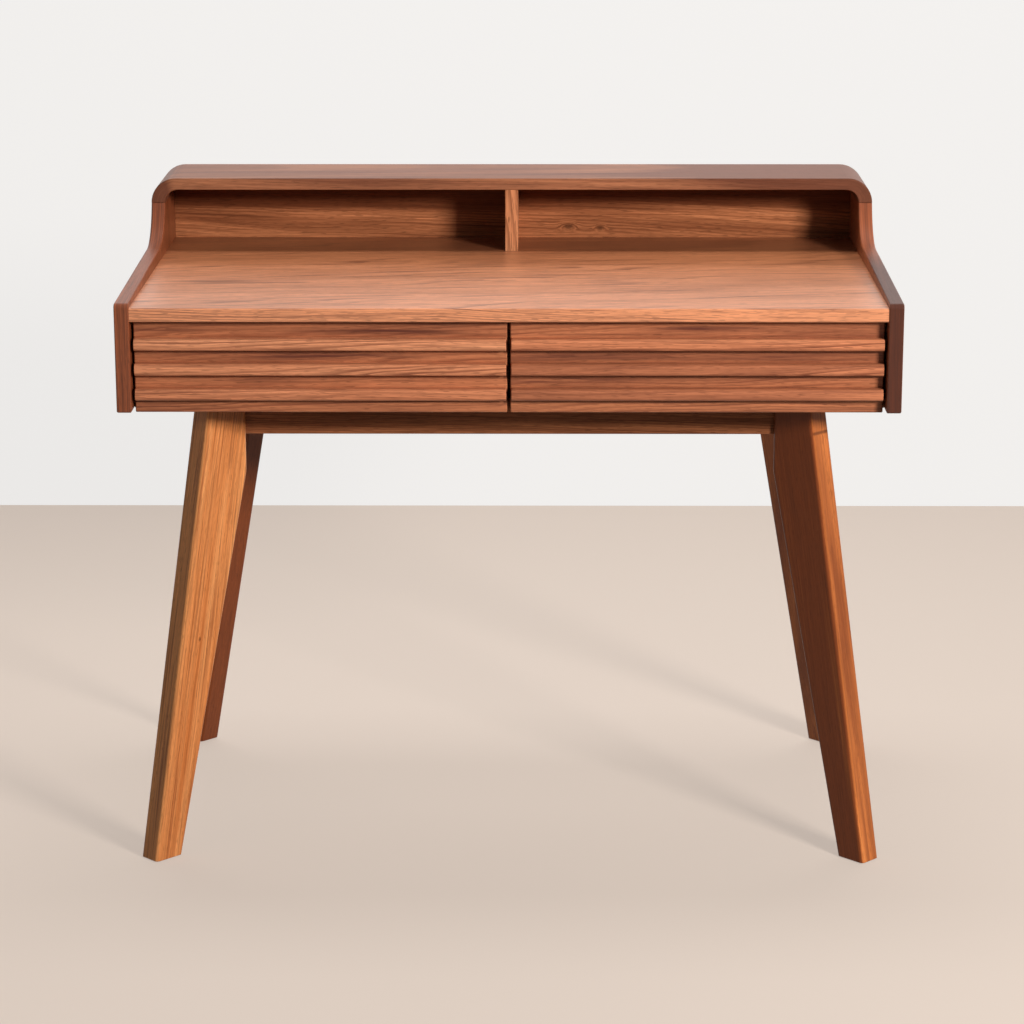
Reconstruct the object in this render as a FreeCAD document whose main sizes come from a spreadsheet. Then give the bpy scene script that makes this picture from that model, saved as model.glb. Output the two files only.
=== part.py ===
import FreeCAD, Part
import math
import os
import re
import Sketcher

# Writing desk: a shallow case with two drawers side by side, a raised gallery with two cubbies
# along the back, side panels that sweep up into the gallery, and four flat legs on the diagonals.
#
# Frame: millimetres, +Z up, +X to the sitter's right and -Y towards the sitter. The origin lies
# on the floor, under the middle of the case.

doc = FreeCAD.newDocument("WritingDesk")
sheet = doc.addObject("Spreadsheet::Sheet", "Sizes")

# Driving sizes: alias, value, what it measures.
SIZES = (
    ("desk_width", 1000, "over the outer faces of the side panels"),
    ("case_depth", 560, "front edge to rear edge of the side panels"),
    ("desk_height", 850, "floor to the top of the gallery cap"),
    ("gallery_height", 101.5, "writing surface to the top of the gallery cap"),
    ("case_height", 135.5, "underside of the case to the writing surface"),

    ("side_thick", 19, "side panel"),
    ("rail_front_rise", 6, "side panel above the desktop at its front corner"),
    ("rail_back_rise", 15, "side panel above the desktop where its sweep starts"),
    ("sweep_radius", 75, "concave sweep of the side panel up to the gallery cap"),
    ("panel_nose", 6, "rounding of the side panel's upper front corner"),
    ("panel_heel", 3, "rounding of the side panel's lower front corner"),
    ("panel_ease", 2, "rounding along the side panel's edges"),

    ("top_thick", 18, "desktop"),
    ("top_setback", 2, "front edge of the desktop behind the side panels"),
    ("top_ease", 2.5, "rounding along the front of the desktop"),
    ("floor_thick", 12, "case bottom"),
    ("back_thick", 12, "case back and gallery back"),
    ("back_inset", 10, "rear faces of the backs before the rear edges of the side panels"),
    ("housing_depth", 5, "gallery back and divider let into the desktop"),
    ("partition_thick", 18, "board between the drawers"),
    ("partition_setback", 17, "front edge of the partition behind the case bottom"),
    ("stretcher_thick", 18, "board under the front of the desktop"),
    ("stretcher_depth", 73, "front to rear edge of the stretcher"),
    ("stretcher_gap", 0.2, "clearance of the partition's notch round the stretcher"),

    ("cap_depth", 136, "front to rear edge of the gallery cap"),
    ("cap_thick", 16, "flat part of the gallery cap"),
    ("cap_radius", 34, "outer radius of the cap's bent corners"),
    ("cap_ease", 1.2, "rounding along the front of the cap"),
    ("divider_thick", 18, "board between the cubbies"),
    ("divider_ease", 1, "rounding of the divider's front edges"),

    ("side_reveal", 3, "gap between a drawer front and its side panel"),
    ("middle_reveal", 4, "gap between the two drawer fronts"),
    ("top_reveal", 2, "gap between a drawer front and the desktop"),
    ("close_gap", 0.5, "gap between a closed front and the case behind it"),
    ("front_thick", 15, "drawer front board"),
    ("front_drop", 2.8, "drawer front board below the underside of the case"),
    ("front_ease", 1.6, "rounding of the front board's edges"),
    ("slat_setback", 4, "faces of the slats behind the side panels"),
    ("slat_proud", 15, "slat thickness, face to front board"),
    ("slat_gap", 16.85, "between one slat and the next"),
    ("slat_rise", 17.5, "lowest slat above the lower edge of the front board"),
    ("slat_drop", 20.6, "highest slat below the upper edge of the front board"),
    ("slat_inset", 1.2, "slat end before the end of the front board"),
    ("slat_round", 5, "rounding along the slat's two long front edges"),
    ("slat_ease", 0.8, "rounding round the slat's ends"),

    ("box_gap", 4.5, "drawer box to the case side beside it"),
    ("box_rise", 3, "drawer box above the case bottom"),
    ("box_drop", 6.5, "drawer box below the stretcher"),
    ("box_back_gap", 71, "closed drawer box to the case back"),
    ("box_side_thick", 14, "drawer side"),
    ("box_wall", 12, "drawer back and inner front"),
    ("tray_thick", 5, "drawer floor"),
    ("tray_rise", 5, "drawer floor above the lower edge of the box"),
    ("tray_tongue", 5, "drawer floor let into the walls"),
    ("tray_gap", 0.1, "clearance of the slots round the drawer floor"),
    ("tab_width", 40, "stop tab"),
    ("tab_thick", 10, "stop tab"),
    ("tab_height", 46, "stop tab"),
    ("tab_rise", 16, "stop tab above the drawer back"),

    ("runner_thick", 10, "runner, out from the case side"),
    ("runner_height", 14, "runner"),
    ("runner_setback", 20, "front end of a runner behind the case bottom's edge"),
    ("runner_back_gap", 20.5, "rear end of a runner before the case back"),
    ("runner_gap", 0.4, "clearance between a runner and its groove"),

    ("foot_inset_x", 21, "middle of a foot's outer face inside the side panel's face"),
    ("foot_inset_y", 17.5, "middle of a foot's outer face behind the case's edge"),
    ("leg_thick", 33.5, "leg plank"),
    ("foot_width", 43.5, "leg plank at the floor, along the diagonal"),
    ("leg_splay", 111.4, "run of the leg's outer edge from the floor to its head"),
    ("head_width", 60, "leg plank at its head, along the diagonal"),
    ("knee_drop", 106, "knee on the leg's inner edge below the case"),
    ("knee_ease", 30, "rounding of the knee"),
    ("leg_ease", 5, "rounding along the leg's long edges"),
    ("glide_thick", 1.5, "glide under a foot"),
    ("glide_radius", 10, "glide under a foot"),

    ("apron_height", 58, "aprons and side rails"),
    ("apron_thick", 20, "aprons and side rails"),
    ("apron_ease", 1.5, "rounding along the lower edge of an apron"),
    ("seat_flat", 16.5, "flat across the frame's corner that a leg's head seats on"),
    ("block_arm", 45, "arms of a corner block"),
    ("block_height", 50, "corner block"),

    ("bolt_radius", 4, "leg bolt"),
    ("bolt_bite", 35, "leg bolt inside the leg"),
    ("bolt_margin", 14, "leg bolts from the upper and lower edge of the apron"),
    ("bolt_tail", 4, "leg bolt past its nut"),
    ("bolt_gap", 0.3, "clearance round a leg bolt"),
    ("washer_radius", 9, "washer under a leg bolt's nut"),
    ("washer_thick", 1.6, "washer under a leg bolt's nut"),
    ("nut_radius", 7.5, "nut over its corners"),
    ("nut_thick", 6.5, "nut"),

    ("dowel_radius", 3, "wood dowel"),
    ("dowel_short", 12, "dowel inside the board that it enters through the face"),
    ("dowel_long", 18, "dowel inside the board that it enters through the edge"),
    ("dowel_gap", 0.1, "clearance round a dowel"),
    ("dowel_end_gap", 1, "glue space past a dowel's end"),
    ("screw_radius", 2, "case and drawer screws"),
    ("screw_head_radius", 4, "case and drawer screws"),
    ("screw_head_depth", 2.4, "case and drawer screws"),
    ("case_screw_length", 35, "case screw"),
    ("drawer_screw_length", 20, "drawer screw"),
    ("runner_screw_length", 16, "runner screw"),
    ("screw_gap", 0.1, "clearance round a screw"),
    ("overrun", 5, "how far a cutter runs past the wood"),
)

# Sizes worked out from the driving ones.
WORKED_OUT = (
    ("half_width", "desk_width / 2"),
    ("half_depth", "case_depth / 2"),
    ("inner_half", "desk_width / 2 - side_thick"),
    ("top_height", "desk_height - gallery_height"),
    ("case_foot", "top_height - case_height"),
    ("seam_height", "desk_height - cap_radius"),
    ("cap_under", "desk_height - cap_thick"),
    ("cap_inner_radius", "cap_radius - cap_thick"),
    ("gallery_front", "case_depth / 2 - cap_depth"),
    ("top_under", "top_height - top_thick"),
    ("case_floor", "case_foot + floor_thick"),
    ("back_rear", "case_depth / 2 - back_inset"),
    ("back_front", "case_depth / 2 - back_inset - back_thick"),
    ("housing_floor", "top_height - housing_depth"),
    ("stretcher_under", "top_under - stretcher_thick"),

    ("slat_face", "slat_setback - half_depth"),
    ("front_face", "slat_face + slat_proud"),
    ("front_rear", "front_face + front_thick"),
    ("front_foot", "case_foot - front_drop"),
    ("front_height", "top_under - top_reveal - front_foot"),
    ("slat_height", "(front_height - slat_rise - slat_drop - 2 * slat_gap) / 3"),
    ("slat_pitch", "slat_height + slat_gap"),
    ("case_front", "front_rear + close_gap"),
    ("stretcher_rear", "case_front + stretcher_depth"),
    ("box_near", "partition_thick / 2 + box_gap"),
    ("box_far", "inner_half - box_gap"),
    ("box_foot", "case_floor + box_rise"),
    ("box_top", "stretcher_under - box_drop"),
    ("box_rear", "back_front - box_back_gap"),
    ("runner_middle", "(box_foot + box_top) / 2"),
    ("runner_front", "case_front + runner_setback"),
    ("runner_rear", "back_front - runner_back_gap"),
    ("groove_depth", "runner_thick - box_gap + runner_gap"),

    ("leg_reach", "leg_splay + head_width"),
    ("knee_height", "case_foot - knee_drop"),
    ("foot_x", "half_width - foot_inset_x"),
    ("foot_y", "half_depth - foot_inset_y"),
    ("seat_chamfer", "seat_flat / sqrt(2)"),
    ("frame_x", "foot_x - leg_reach / sqrt(2) + seat_chamfer / 2"),
    ("frame_y", "foot_y - leg_reach / sqrt(2) + seat_chamfer / 2"),
    ("apron_foot", "case_foot - apron_height"),
    ("frame_inner_x", "frame_x - apron_thick"),
    ("frame_inner_y", "frame_y - apron_thick"),
    ("corner_reach", "sqrt(2) * (foot_x - frame_inner_x)"),
    ("block_face_reach", "corner_reach + block_arm / sqrt(2)"),
    ("clamp_length", "block_face_reach - leg_reach"),
    ("bolt_length", "bolt_bite + clamp_length + washer_thick + nut_thick + bolt_tail"),
)

# Places along a board, as shares of the half length or of the depth that they follow.
side_dowel_shares = (-0.72, 0.05, 0.7)
edge_dowel_shares = (0.2, 0.8)
partition_dowel_shares = (-0.3, 0.3)
back_dowel_shares = (-0.8, -0.3, 0.3, 0.8)
apron_screw_shares = (-0.75, -0.25, 0.25, 0.75)
rail_screw_shares = (-0.4, 0.4)
back_screw_shares = (-0.85, -0.35, 0.35, 0.85)
runner_screw_shares = (0.08, 0.5, 0.92)
front_screw_shares = (0.2, 0.8)
corner_screw_shares = (0.15, 0.85)
tab_screw_shares = (0.2, 0.5)

ALIASES = {row[0] for row in SIZES + WORKED_OUT}
SNAP = 0.01

AXES = "xyz"
RIGHT = FreeCAD.Vector(1, 0, 0)
BACK = FreeCAD.Vector(0, 1, 0)
UP = FreeCAD.Vector(0, 0, 1)
HANDS = (("left", -1), ("right", 1))

nodes = {}


def formula(text):
    """The expression for a size written with the sheet's aliases."""
    return re.sub(r"[A-Za-z_]\w*", lambda word: "Sizes." + word.group() if word.group() in ALIASES
                  else word.group(), text)


def size(alias):
    """The value of one cell of the sheet."""
    return float(sheet.get(alias))


def fill_sheet():
    """Write the driving sizes as numbers, and the worked-out ones as formulas."""
    for row, (alias, value, note) in enumerate(SIZES, 1):
        sheet.set(f"A{row}", f"{alias}: {note}")
        sheet.set(f"B{row}", str(value))
        sheet.setAlias(f"B{row}", alias)
    for row, (alias, text) in enumerate(WORKED_OUT, len(SIZES) + 1):
        sheet.set(f"A{row}", alias)
        sheet.set(f"B{row}", "=" + text)
        sheet.setAlias(f"B{row}", alias)
    doc.recompute()


def label(name, thing):
    """Keep an object as a node of the desk."""
    thing.Label = name
    nodes[name] = thing
    return thing


def span(side, near, far):
    """Low and high X of what lies between two distances on one side of the middle."""
    return (f"-({far})", f"-({near})") if side < 0 else (near, far)


# Boards and cutters

def block(name, low, high):
    """Square-edged board between two corners, each three formulas."""
    board = doc.addObject("Part::Box", name)
    for axis, edge, start, end in zip(AXES, ("Length", "Width", "Height"), low, high):
        board.setExpression(edge, formula(f"({end}) - ({start})"))
        board.setExpression(f".Placement.Base.{axis}", formula(start))
    return board


def body_with_sketch(name, role):
    """New body with an empty sketch on one of its own planes."""
    body = doc.addObject("PartDesign::Body", name)
    plane = next(feature for feature in body.Origin.OriginFeatures if feature.Role == role)
    sketch = body.newObject("Sketcher::SketchObject", name + "_outline")
    sketch.AttachmentSupport = (plane, [""])
    sketch.MapMode = "FlatFace"
    return body, sketch


def hold(sketch, line, end, axis, text):
    """Tie one coordinate of a line's end to a formula, starting from where it is drawn."""
    drawn = getattr(sketch.getPoint(line, end), axis.lower())
    tie = Sketcher.Constraint("Distance" + axis, -1, 1, line, end, drawn)
    sketch.setExpression(f"Constraints[{sketch.addConstraint(tie)}]", formula(text))


def close_outline(sketch, corners):
    """Closed straight outline; each corner is a pair of formulas."""
    count = len(corners)
    turns = [2 * math.pi * step / count for step in range(count)]
    spread = size("half_width")
    ring = [FreeCAD.Vector(spread * math.cos(turn), spread * math.sin(turn), 0) for turn in turns]
    for step in range(count):
        sketch.addGeometry(Part.LineSegment(ring[step], ring[(step + 1) % count]))
    for step in range(count):
        sketch.addConstraint(Sketcher.Constraint("Coincident", step, 2, (step + 1) % count, 1))
    for step, (along, across) in enumerate(corners):
        hold(sketch, step, 1, "X", along)
        hold(sketch, step, 1, "Y", across)


def pad(body, sketch, length, symmetric=False, reverse=False):
    """Thicken a sketch by a formula."""
    feature = body.newObject("PartDesign::Pad", body.Name + "_pad")
    feature.Profile = sketch
    feature.SideType = "Symmetric" if symmetric else "One side"
    feature.Reversed = reverse
    feature.setExpression("Length", formula(length))
    doc.recompute()
    return feature


def on_face(edge, shape, axis, side):
    """Whether an edge lies in the outermost plane of a shape on one side of an axis."""
    end = axis.upper() + ("Max" if side > 0 else "Min")
    plane = getattr(shape.BoundBox, end)
    reach = [getattr(edge.BoundBox, axis.upper() + limit) for limit in ("Min", "Max")]
    return all(abs(value - plane) < SNAP for value in reach)


def ease(body, radius, pick, step="ease"):
    """Round the edges of a body's last feature that the test picks."""
    base = body.Tip
    shape = base.Shape
    picked = [f"Edge{number}" for number, edge in enumerate(shape.Edges, 1) if pick(edge, shape)]
    fillet = body.newObject("PartDesign::Fillet", f"{body.Name}_{step}")
    fillet.Base = (base, picked)
    fillet.setExpression("Radius", formula(radius))
    doc.recompute()
    return fillet


def place(thing, spot, turn=0):
    """Set a body at three formulas, turned about Z by degrees."""
    thing.Placement = FreeCAD.Placement(FreeCAD.Vector(), FreeCAD.Rotation(UP, turn))
    for axis, text in zip(AXES, spot):
        thing.setExpression(f".Placement.Base.{axis}", formula(text))
    return thing


def eased_board(name, low, high, radius, pick):
    """Board between two corners, with the picked edges rounded."""
    body, sketch = body_with_sketch(name, "XY_Plane")
    length, width, height = [f"({end}) - ({start})" for start, end in zip(low, high)]
    close_outline(sketch, (("0", "0"), (length, "0"), (length, width), ("0", width)))
    pad(body, sketch, height)
    ease(body, radius, pick)
    return place(body, low)


def bored(name, piece, *cutters):
    """Keep a piece as a node, less the given cutters."""
    piece.Label = name + "_blank"
    for number, cutter in enumerate(cutters):
        cut = doc.addObject("Part::Cut", f"{name}_cut{number}")
        cut.Base = piece
        cut.Tool = cutter
        piece = cut
    return label(name, piece)


# Fasteners: one of each kind is built along +Z, and copies of it are set at their places.

def pin(name, radius, low, high):
    """Plain round pin between two heights on its axis."""
    shank = doc.addObject("Part::Cylinder", name)
    shank.setExpression("Radius", formula(radius))
    shank.setExpression("Height", formula(f"({high}) - ({low})"))
    shank.setExpression(".Placement.Base.z", formula(low))
    return shank


def screw(name, length, gap="0"):
    """Countersunk screw with its head's face at the origin, or its bore when there is a gap."""
    shank = pin(name + "_shank", f"screw_radius + {gap}", "0", length)
    head = doc.addObject("Part::Cone", name + "_head")
    head.setExpression("Radius1", formula(f"screw_head_radius + {gap}"))
    head.setExpression("Radius2", formula(f"screw_radius + {gap}"))
    head.setExpression("Height", formula(f"screw_head_depth + {gap}"))
    whole = doc.addObject("Part::Fuse", name)
    whole.Base = shank
    whole.Tool = head
    return whole


def standing(point, direction):
    """Placement of a fastener built along +Z that points along a direction from a point."""
    return FreeCAD.Placement(FreeCAD.Vector(*point), FreeCAD.Rotation(UP, direction))


def copies(pattern, places):
    """One solid of the pattern at each place."""
    solids = []
    for point, direction in places:
        solid = pattern.Shape.copy()
        solid.Placement = standing(point, direction).multiply(pattern.Shape.Placement)
        solids.append(solid)
    return solids


def group(name, solids):
    """Separate solids kept together under one name."""
    feature = doc.addObject("Part::Feature", name)
    feature.Shape = Part.makeCompound(solids)
    return feature


def dowel_places():
    """Every dowel's point on its joint, and the way into the board that it enters by the edge."""
    places = []
    divider_rows = [size("gallery_front") + share * (size("back_front") - size("gallery_front"))
                    for share in edge_dowel_shares]
    for side in (-1, 1):
        joint = side * size("inner_half")
        inward = RIGHT * -side
        desktop_middle = size("top_height") - size("top_thick") / 2
        floor_middle = size("case_foot") + size("floor_thick") / 2
        stretcher_middle = size("top_under") - size("stretcher_thick") / 2
        for share in side_dowel_shares:
            row = share * size("half_depth")
            places.append(((joint, row, desktop_middle), inward))
            places.append(((joint, row, floor_middle), inward))
        for share in edge_dowel_shares:
            row = size("case_front") + share * size("stretcher_depth")
            places.append(((joint, row, stretcher_middle), inward))
        for row in divider_rows:
            panel_middle = side * (size("half_width") - size("side_thick") / 2)
            places.append(((panel_middle, row, size("seam_height")), -UP))
    for row in divider_rows:
        places.append(((0, row, size("top_height")), UP))
        places.append(((0, row, size("cap_under")), -UP))
    for share in partition_dowel_shares:
        places.append(((0, share * size("half_depth"), size("top_under")), -UP))
    for share in back_dowel_shares:
        back_middle = (size("back_front") + size("back_rear")) / 2
        places.append(((share * size("inner_half"), back_middle, size("top_height")), UP))
    return places


def case_screw_places():
    """Screws down into the base frame, up into the partition and in through the case back."""
    places = []
    half_thick = size("apron_thick") / 2
    for side in (-1, 1):
        for share in apron_screw_shares:
            row = side * (size("frame_y") - half_thick)
            places.append(((share * size("frame_x"), row, size("case_floor")), -UP))
        for share in rail_screw_shares:
            column = side * (size("frame_x") - half_thick)
            places.append(((column, share * size("frame_y"), size("case_floor")), -UP))
    for share in partition_dowel_shares:
        places.append(((0, share * size("half_depth"), size("case_foot")), UP))
    floor_middle = size("case_foot") + size("floor_thick") / 2
    for share in back_screw_shares:
        places.append(((share * size("inner_half"), size("back_rear"), floor_middle), -BACK))
    partition_middle = (size("case_floor") + size("top_under")) / 2
    places.append(((0, size("back_rear"), partition_middle), -BACK))
    return places


def runner_screw_places():
    """Screws out through the outer runners, and in through the inner ones to the partition."""
    places = []
    outer = size("inner_half") - size("runner_thick")
    inner = size("partition_thick") / 2 + size("runner_thick")
    for side in (-1, 1):
        for share in runner_screw_shares:
            row = size("runner_front") + share * (size("runner_rear") - size("runner_front"))
            places.append(((side * outer, row, size("runner_middle")), RIGHT * side))
            places.append(((side * inner, row, size("runner_middle")), RIGHT * -side))
    return places


def leg_corners():
    """Name, sides in X and Y, and turn about Z of each leg's corner."""
    return (("front_left", -1, -1, 45), ("front_right", 1, -1, 135),
            ("rear_right", 1, 1, 225), ("rear_left", -1, 1, 315))


def along_leg(side_x, side_y, reach, height):
    """Point on a leg's diagonal, at a distance in from its foot's outer face."""
    run = reach / math.sqrt(2)
    return (side_x * (size("foot_x") - run), side_y * (size("foot_y") - run), height)


def bolt_places(reach):
    """Both bolt lines of each leg, at a distance in from the foot's outer face."""
    heights = (size("apron_foot") + size("bolt_margin"), size("case_foot") - size("bolt_margin"))
    return [(along_leg(side_x, side_y, reach, height), FreeCAD.Vector(-side_x, -side_y, 0))
            for _, side_x, side_y, _ in leg_corners() for height in heights]


def fixed_fasteners():
    """The fasteners of the case and base, and the compound of bores that they need."""
    dowel = pin("dowel", "dowel_radius", "-dowel_short", "dowel_long")
    dowel_bore = pin("dowel_bore", "dowel_radius + dowel_gap", "-dowel_short - dowel_end_gap",
                     "dowel_long + dowel_end_gap")
    case_screw = screw("case_screw", "case_screw_length")
    case_bore = screw("case_screw_bore", "case_screw_length", "screw_gap")
    runner_screw = screw("runner_screw", "runner_screw_length")
    runner_bore = screw("runner_screw_bore", "runner_screw_length", "screw_gap")
    bolt = pin("bolt", "bolt_radius", "0", "bolt_length")
    bolt_bore = pin("bolt_bore", "bolt_radius + bolt_gap", "-bolt_gap", "bolt_length")
    washer = doc.addObject("Part::Cut", "washer")
    washer.Base = pin("washer_disc", "washer_radius", "0", "washer_thick")
    washer.Tool = pin("washer_hole", "bolt_radius + bolt_gap", "-overrun", "washer_thick + overrun")
    hexagon = doc.addObject("Part::Prism", "nut_hexagon")
    hexagon.setExpression("Circumradius", formula("nut_radius"))
    hexagon.setExpression("Height", formula("nut_thick"))
    nut = doc.addObject("Part::Cut", "nut")
    nut.Base = hexagon
    nut.Tool = pin("nut_thread", "bolt_radius", "-overrun", "nut_thick + overrun")
    doc.recompute()

    bolt_start = size("leg_reach") - size("bolt_bite")
    washer_start = size("block_face_reach")
    nut_start = washer_start + size("washer_thick")
    label("wood_dowels", group("wood_dowels", copies(dowel, dowel_places())))
    label("case_screws", group("case_screws", copies(case_screw, case_screw_places())))
    label("runner_screws", group("runner_screws", copies(runner_screw, runner_screw_places())))
    label("leg_bolts", group("leg_bolts", copies(bolt, bolt_places(bolt_start))))
    label("leg_bolt_washers", group("leg_bolt_washers", copies(washer, bolt_places(washer_start))))
    label("leg_bolt_nuts", group("leg_bolt_nuts", copies(nut, bolt_places(nut_start))))
    return group("fixed_bores", copies(dowel_bore, dowel_places())
                 + copies(case_bore, case_screw_places())
                 + copies(runner_bore, runner_screw_places())
                 + copies(bolt_bore, bolt_places(bolt_start)))


# Case and gallery

def side_panel(hand, side, bores):
    """Side panel: a low rail over the desktop that sweeps up to the gallery cap."""
    name = hand + "_side_panel"
    body, sketch = body_with_sketch(name, "YZ_Plane")
    depth, foot, seam = size("case_depth"), size("case_foot"), size("seam_height")
    radius = size("sweep_radius")
    front_top = size("top_height") + size("rail_front_rise")
    rail_top = size("top_height") + size("rail_back_rise")
    sweep_end = depth - size("cap_depth")
    centre_up = rail_top + radius
    centre_back = sweep_end - math.sqrt(radius ** 2 - (centre_up - seam) ** 2)
    start = FreeCAD.Vector(centre_back, rail_top, 0)
    end = FreeCAD.Vector(sweep_end, seam, 0)
    corners = [FreeCAD.Vector(*point, 0) for point in ((0, foot), (depth, foot), (depth, seam))]
    front = FreeCAD.Vector(0, front_top, 0)
    middle_turn = (math.atan2(seam - centre_up, sweep_end - centre_back) - math.pi / 2) / 2
    middle = FreeCAD.Vector(centre_back + radius * math.cos(middle_turn),
                            centre_up + radius * math.sin(middle_turn), 0)
    path = (Part.LineSegment(corners[0], corners[1]), Part.LineSegment(corners[1], corners[2]),
            Part.LineSegment(corners[2], end), Part.Arc(start, middle, end),
            Part.LineSegment(start, front), Part.LineSegment(front, corners[0]))
    for piece in path:
        sketch.addGeometry(piece)
    bottom, rear, top, sweep, rail, nose = range(len(path))
    for first, first_end, second, second_end in ((bottom, 2, rear, 1), (rear, 2, top, 1),
                                                 (top, 2, sweep, 2), (sweep, 1, rail, 1),
                                                 (rail, 2, nose, 1), (nose, 2, bottom, 1)):
        sketch.addConstraint(Sketcher.Constraint("Coincident", first, first_end, second, second_end))
    for line in (bottom, top):
        sketch.addConstraint(Sketcher.Constraint("Horizontal", line))
    for line in (rear, nose):
        sketch.addConstraint(Sketcher.Constraint("Vertical", line))
    sketch.addConstraint(Sketcher.Constraint("PointOnObject", bottom, 1, -2))
    sketch.addConstraint(Sketcher.Constraint("Tangent", sweep, rail))
    rounding = sketch.addConstraint(Sketcher.Constraint("Radius", sweep, radius))
    sketch.setExpression(f"Constraints[{rounding}]", formula("sweep_radius"))
    hold(sketch, bottom, 1, "Y", "case_foot")
    hold(sketch, bottom, 2, "X", "case_depth")
    hold(sketch, top, 1, "Y", "seam_height")
    hold(sketch, top, 2, "X", "case_depth - cap_depth")
    hold(sketch, rail, 1, "Y", "top_height + rail_back_rise")
    hold(sketch, rail, 2, "Y", "top_height + rail_front_rise")
    pad(body, sketch, "side_thick")

    def upper_front(edge, shape):
        return on_face(edge, shape, "y", -1) and abs(edge.BoundBox.ZMin - front_top) < SNAP

    def lower_front(edge, shape):
        return on_face(edge, shape, "y", -1) and on_face(edge, shape, "z", -1)

    def rim(edge, shape):
        faces = on_face(edge, shape, "x", -1) or on_face(edge, shape, "x", 1)
        return faces and not (on_face(edge, shape, "z", 1) or on_face(edge, shape, "y", 1))

    ease(body, "panel_nose", upper_front, "nose")
    ease(body, "panel_heel", lower_front, "heel")
    ease(body, "panel_ease", rim)
    place(body, ("-half_width" if side < 0 else "inner_half", "-half_depth", "0"))
    return bored(name, body, bores)


def gallery_cap(bores):
    """Gallery cap: a flat board whose two ends bend down to the side panels."""
    body, sketch = body_with_sketch("gallery_cap", "XZ_Plane")
    outer, inner = size("half_width"), size("inner_half")
    top, under, seam = size("desk_height"), size("cap_under"), size("seam_height")
    big, small = size("cap_radius"), size("cap_inner_radius")
    lean = math.sqrt(0.5)

    def point(across, up):
        return FreeCAD.Vector(across, up, 0)

    def bend(side, edge, radius, height):
        centre = edge - radius
        return Part.Arc(point(side * centre, height),
                        point(side * (centre + radius * lean), height - radius + radius * lean),
                        point(side * edge, height - radius))

    path = (Part.LineSegment(point(big - outer, top), point(outer - big, top)),
            bend(1, outer, big, top), Part.LineSegment(point(outer, seam), point(inner, seam)),
            bend(1, inner, small, under),
            Part.LineSegment(point(inner - small, under), point(small - inner, under)),
            bend(-1, inner, small, under), Part.LineSegment(point(-inner, seam), point(-outer, seam)),
            bend(-1, outer, big, top))
    for piece in path:
        sketch.addGeometry(piece)
    upper, right_outer, right_end, right_inner, lower, left_inner, left_end, left_outer = range(8)
    # An arc's first end is where it starts anticlockwise: low on the right, high on the left.
    low_end = {right_outer: 1, right_inner: 1, left_inner: 2, left_outer: 2}
    for arc, line, line_end in ((right_outer, right_end, 1), (right_inner, right_end, 2),
                                (left_inner, left_end, 1), (left_outer, left_end, 2)):
        sketch.addConstraint(Sketcher.Constraint("Coincident", arc, low_end[arc], line, line_end))
    for arc, line, line_end in ((right_outer, upper, 2), (right_inner, lower, 1),
                                (left_inner, lower, 2), (left_outer, upper, 1)):
        high_end = 3 - low_end[arc]
        sketch.addConstraint(Sketcher.Constraint("Tangent", arc, high_end, line, line_end))
    for line in (upper, lower, right_end, left_end):
        sketch.addConstraint(Sketcher.Constraint("Horizontal", line))
    hold(sketch, upper, 1, "Y", "desk_height")
    hold(sketch, lower, 1, "Y", "cap_under")
    hold(sketch, right_end, 1, "X", "half_width")
    hold(sketch, right_end, 2, "X", "inner_half")
    hold(sketch, left_end, 1, "X", "-inner_half")
    hold(sketch, left_end, 2, "X", "-half_width")
    hold(sketch, right_end, 1, "Y", "seam_height")
    hold(sketch, left_end, 1, "Y", "seam_height")
    for arc, radius in ((right_outer, "cap_radius"), (left_outer, "cap_radius"),
                        (right_inner, "cap_inner_radius"), (left_inner, "cap_inner_radius")):
        rounding = sketch.addConstraint(Sketcher.Constraint("Radius", arc, size(radius)))
        sketch.setExpression(f"Constraints[{rounding}]", formula(radius))
    pad(body, sketch, "cap_depth", reverse=True)
    ease(body, "cap_ease", lambda edge, shape: on_face(edge, shape, "y", -1))
    place(body, ("0", "gallery_front", "0"))
    return bored("gallery_cap", body, bores)


def front_edges(edge, shape):
    """The edges along X at the front of a board."""
    return on_face(edge, shape, "y", -1) and not (on_face(edge, shape, "x", -1)
                                                  or on_face(edge, shape, "x", 1))


def upright_front_edges(edge, shape):
    """The upright edges at the front of a board."""
    return on_face(edge, shape, "y", -1) and not (on_face(edge, shape, "z", -1)
                                                  or on_face(edge, shape, "z", 1))


def edges_before_back(edge, shape):
    """Every edge of a board but those round its rear face."""
    return not on_face(edge, shape, "y", 1)


def end_edges(edge, shape):
    """The edges round both ends of a board, but those of its rear face."""
    ends = on_face(edge, shape, "x", -1) or on_face(edge, shape, "x", 1)
    return ends and not on_face(edge, shape, "y", 1)


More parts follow.
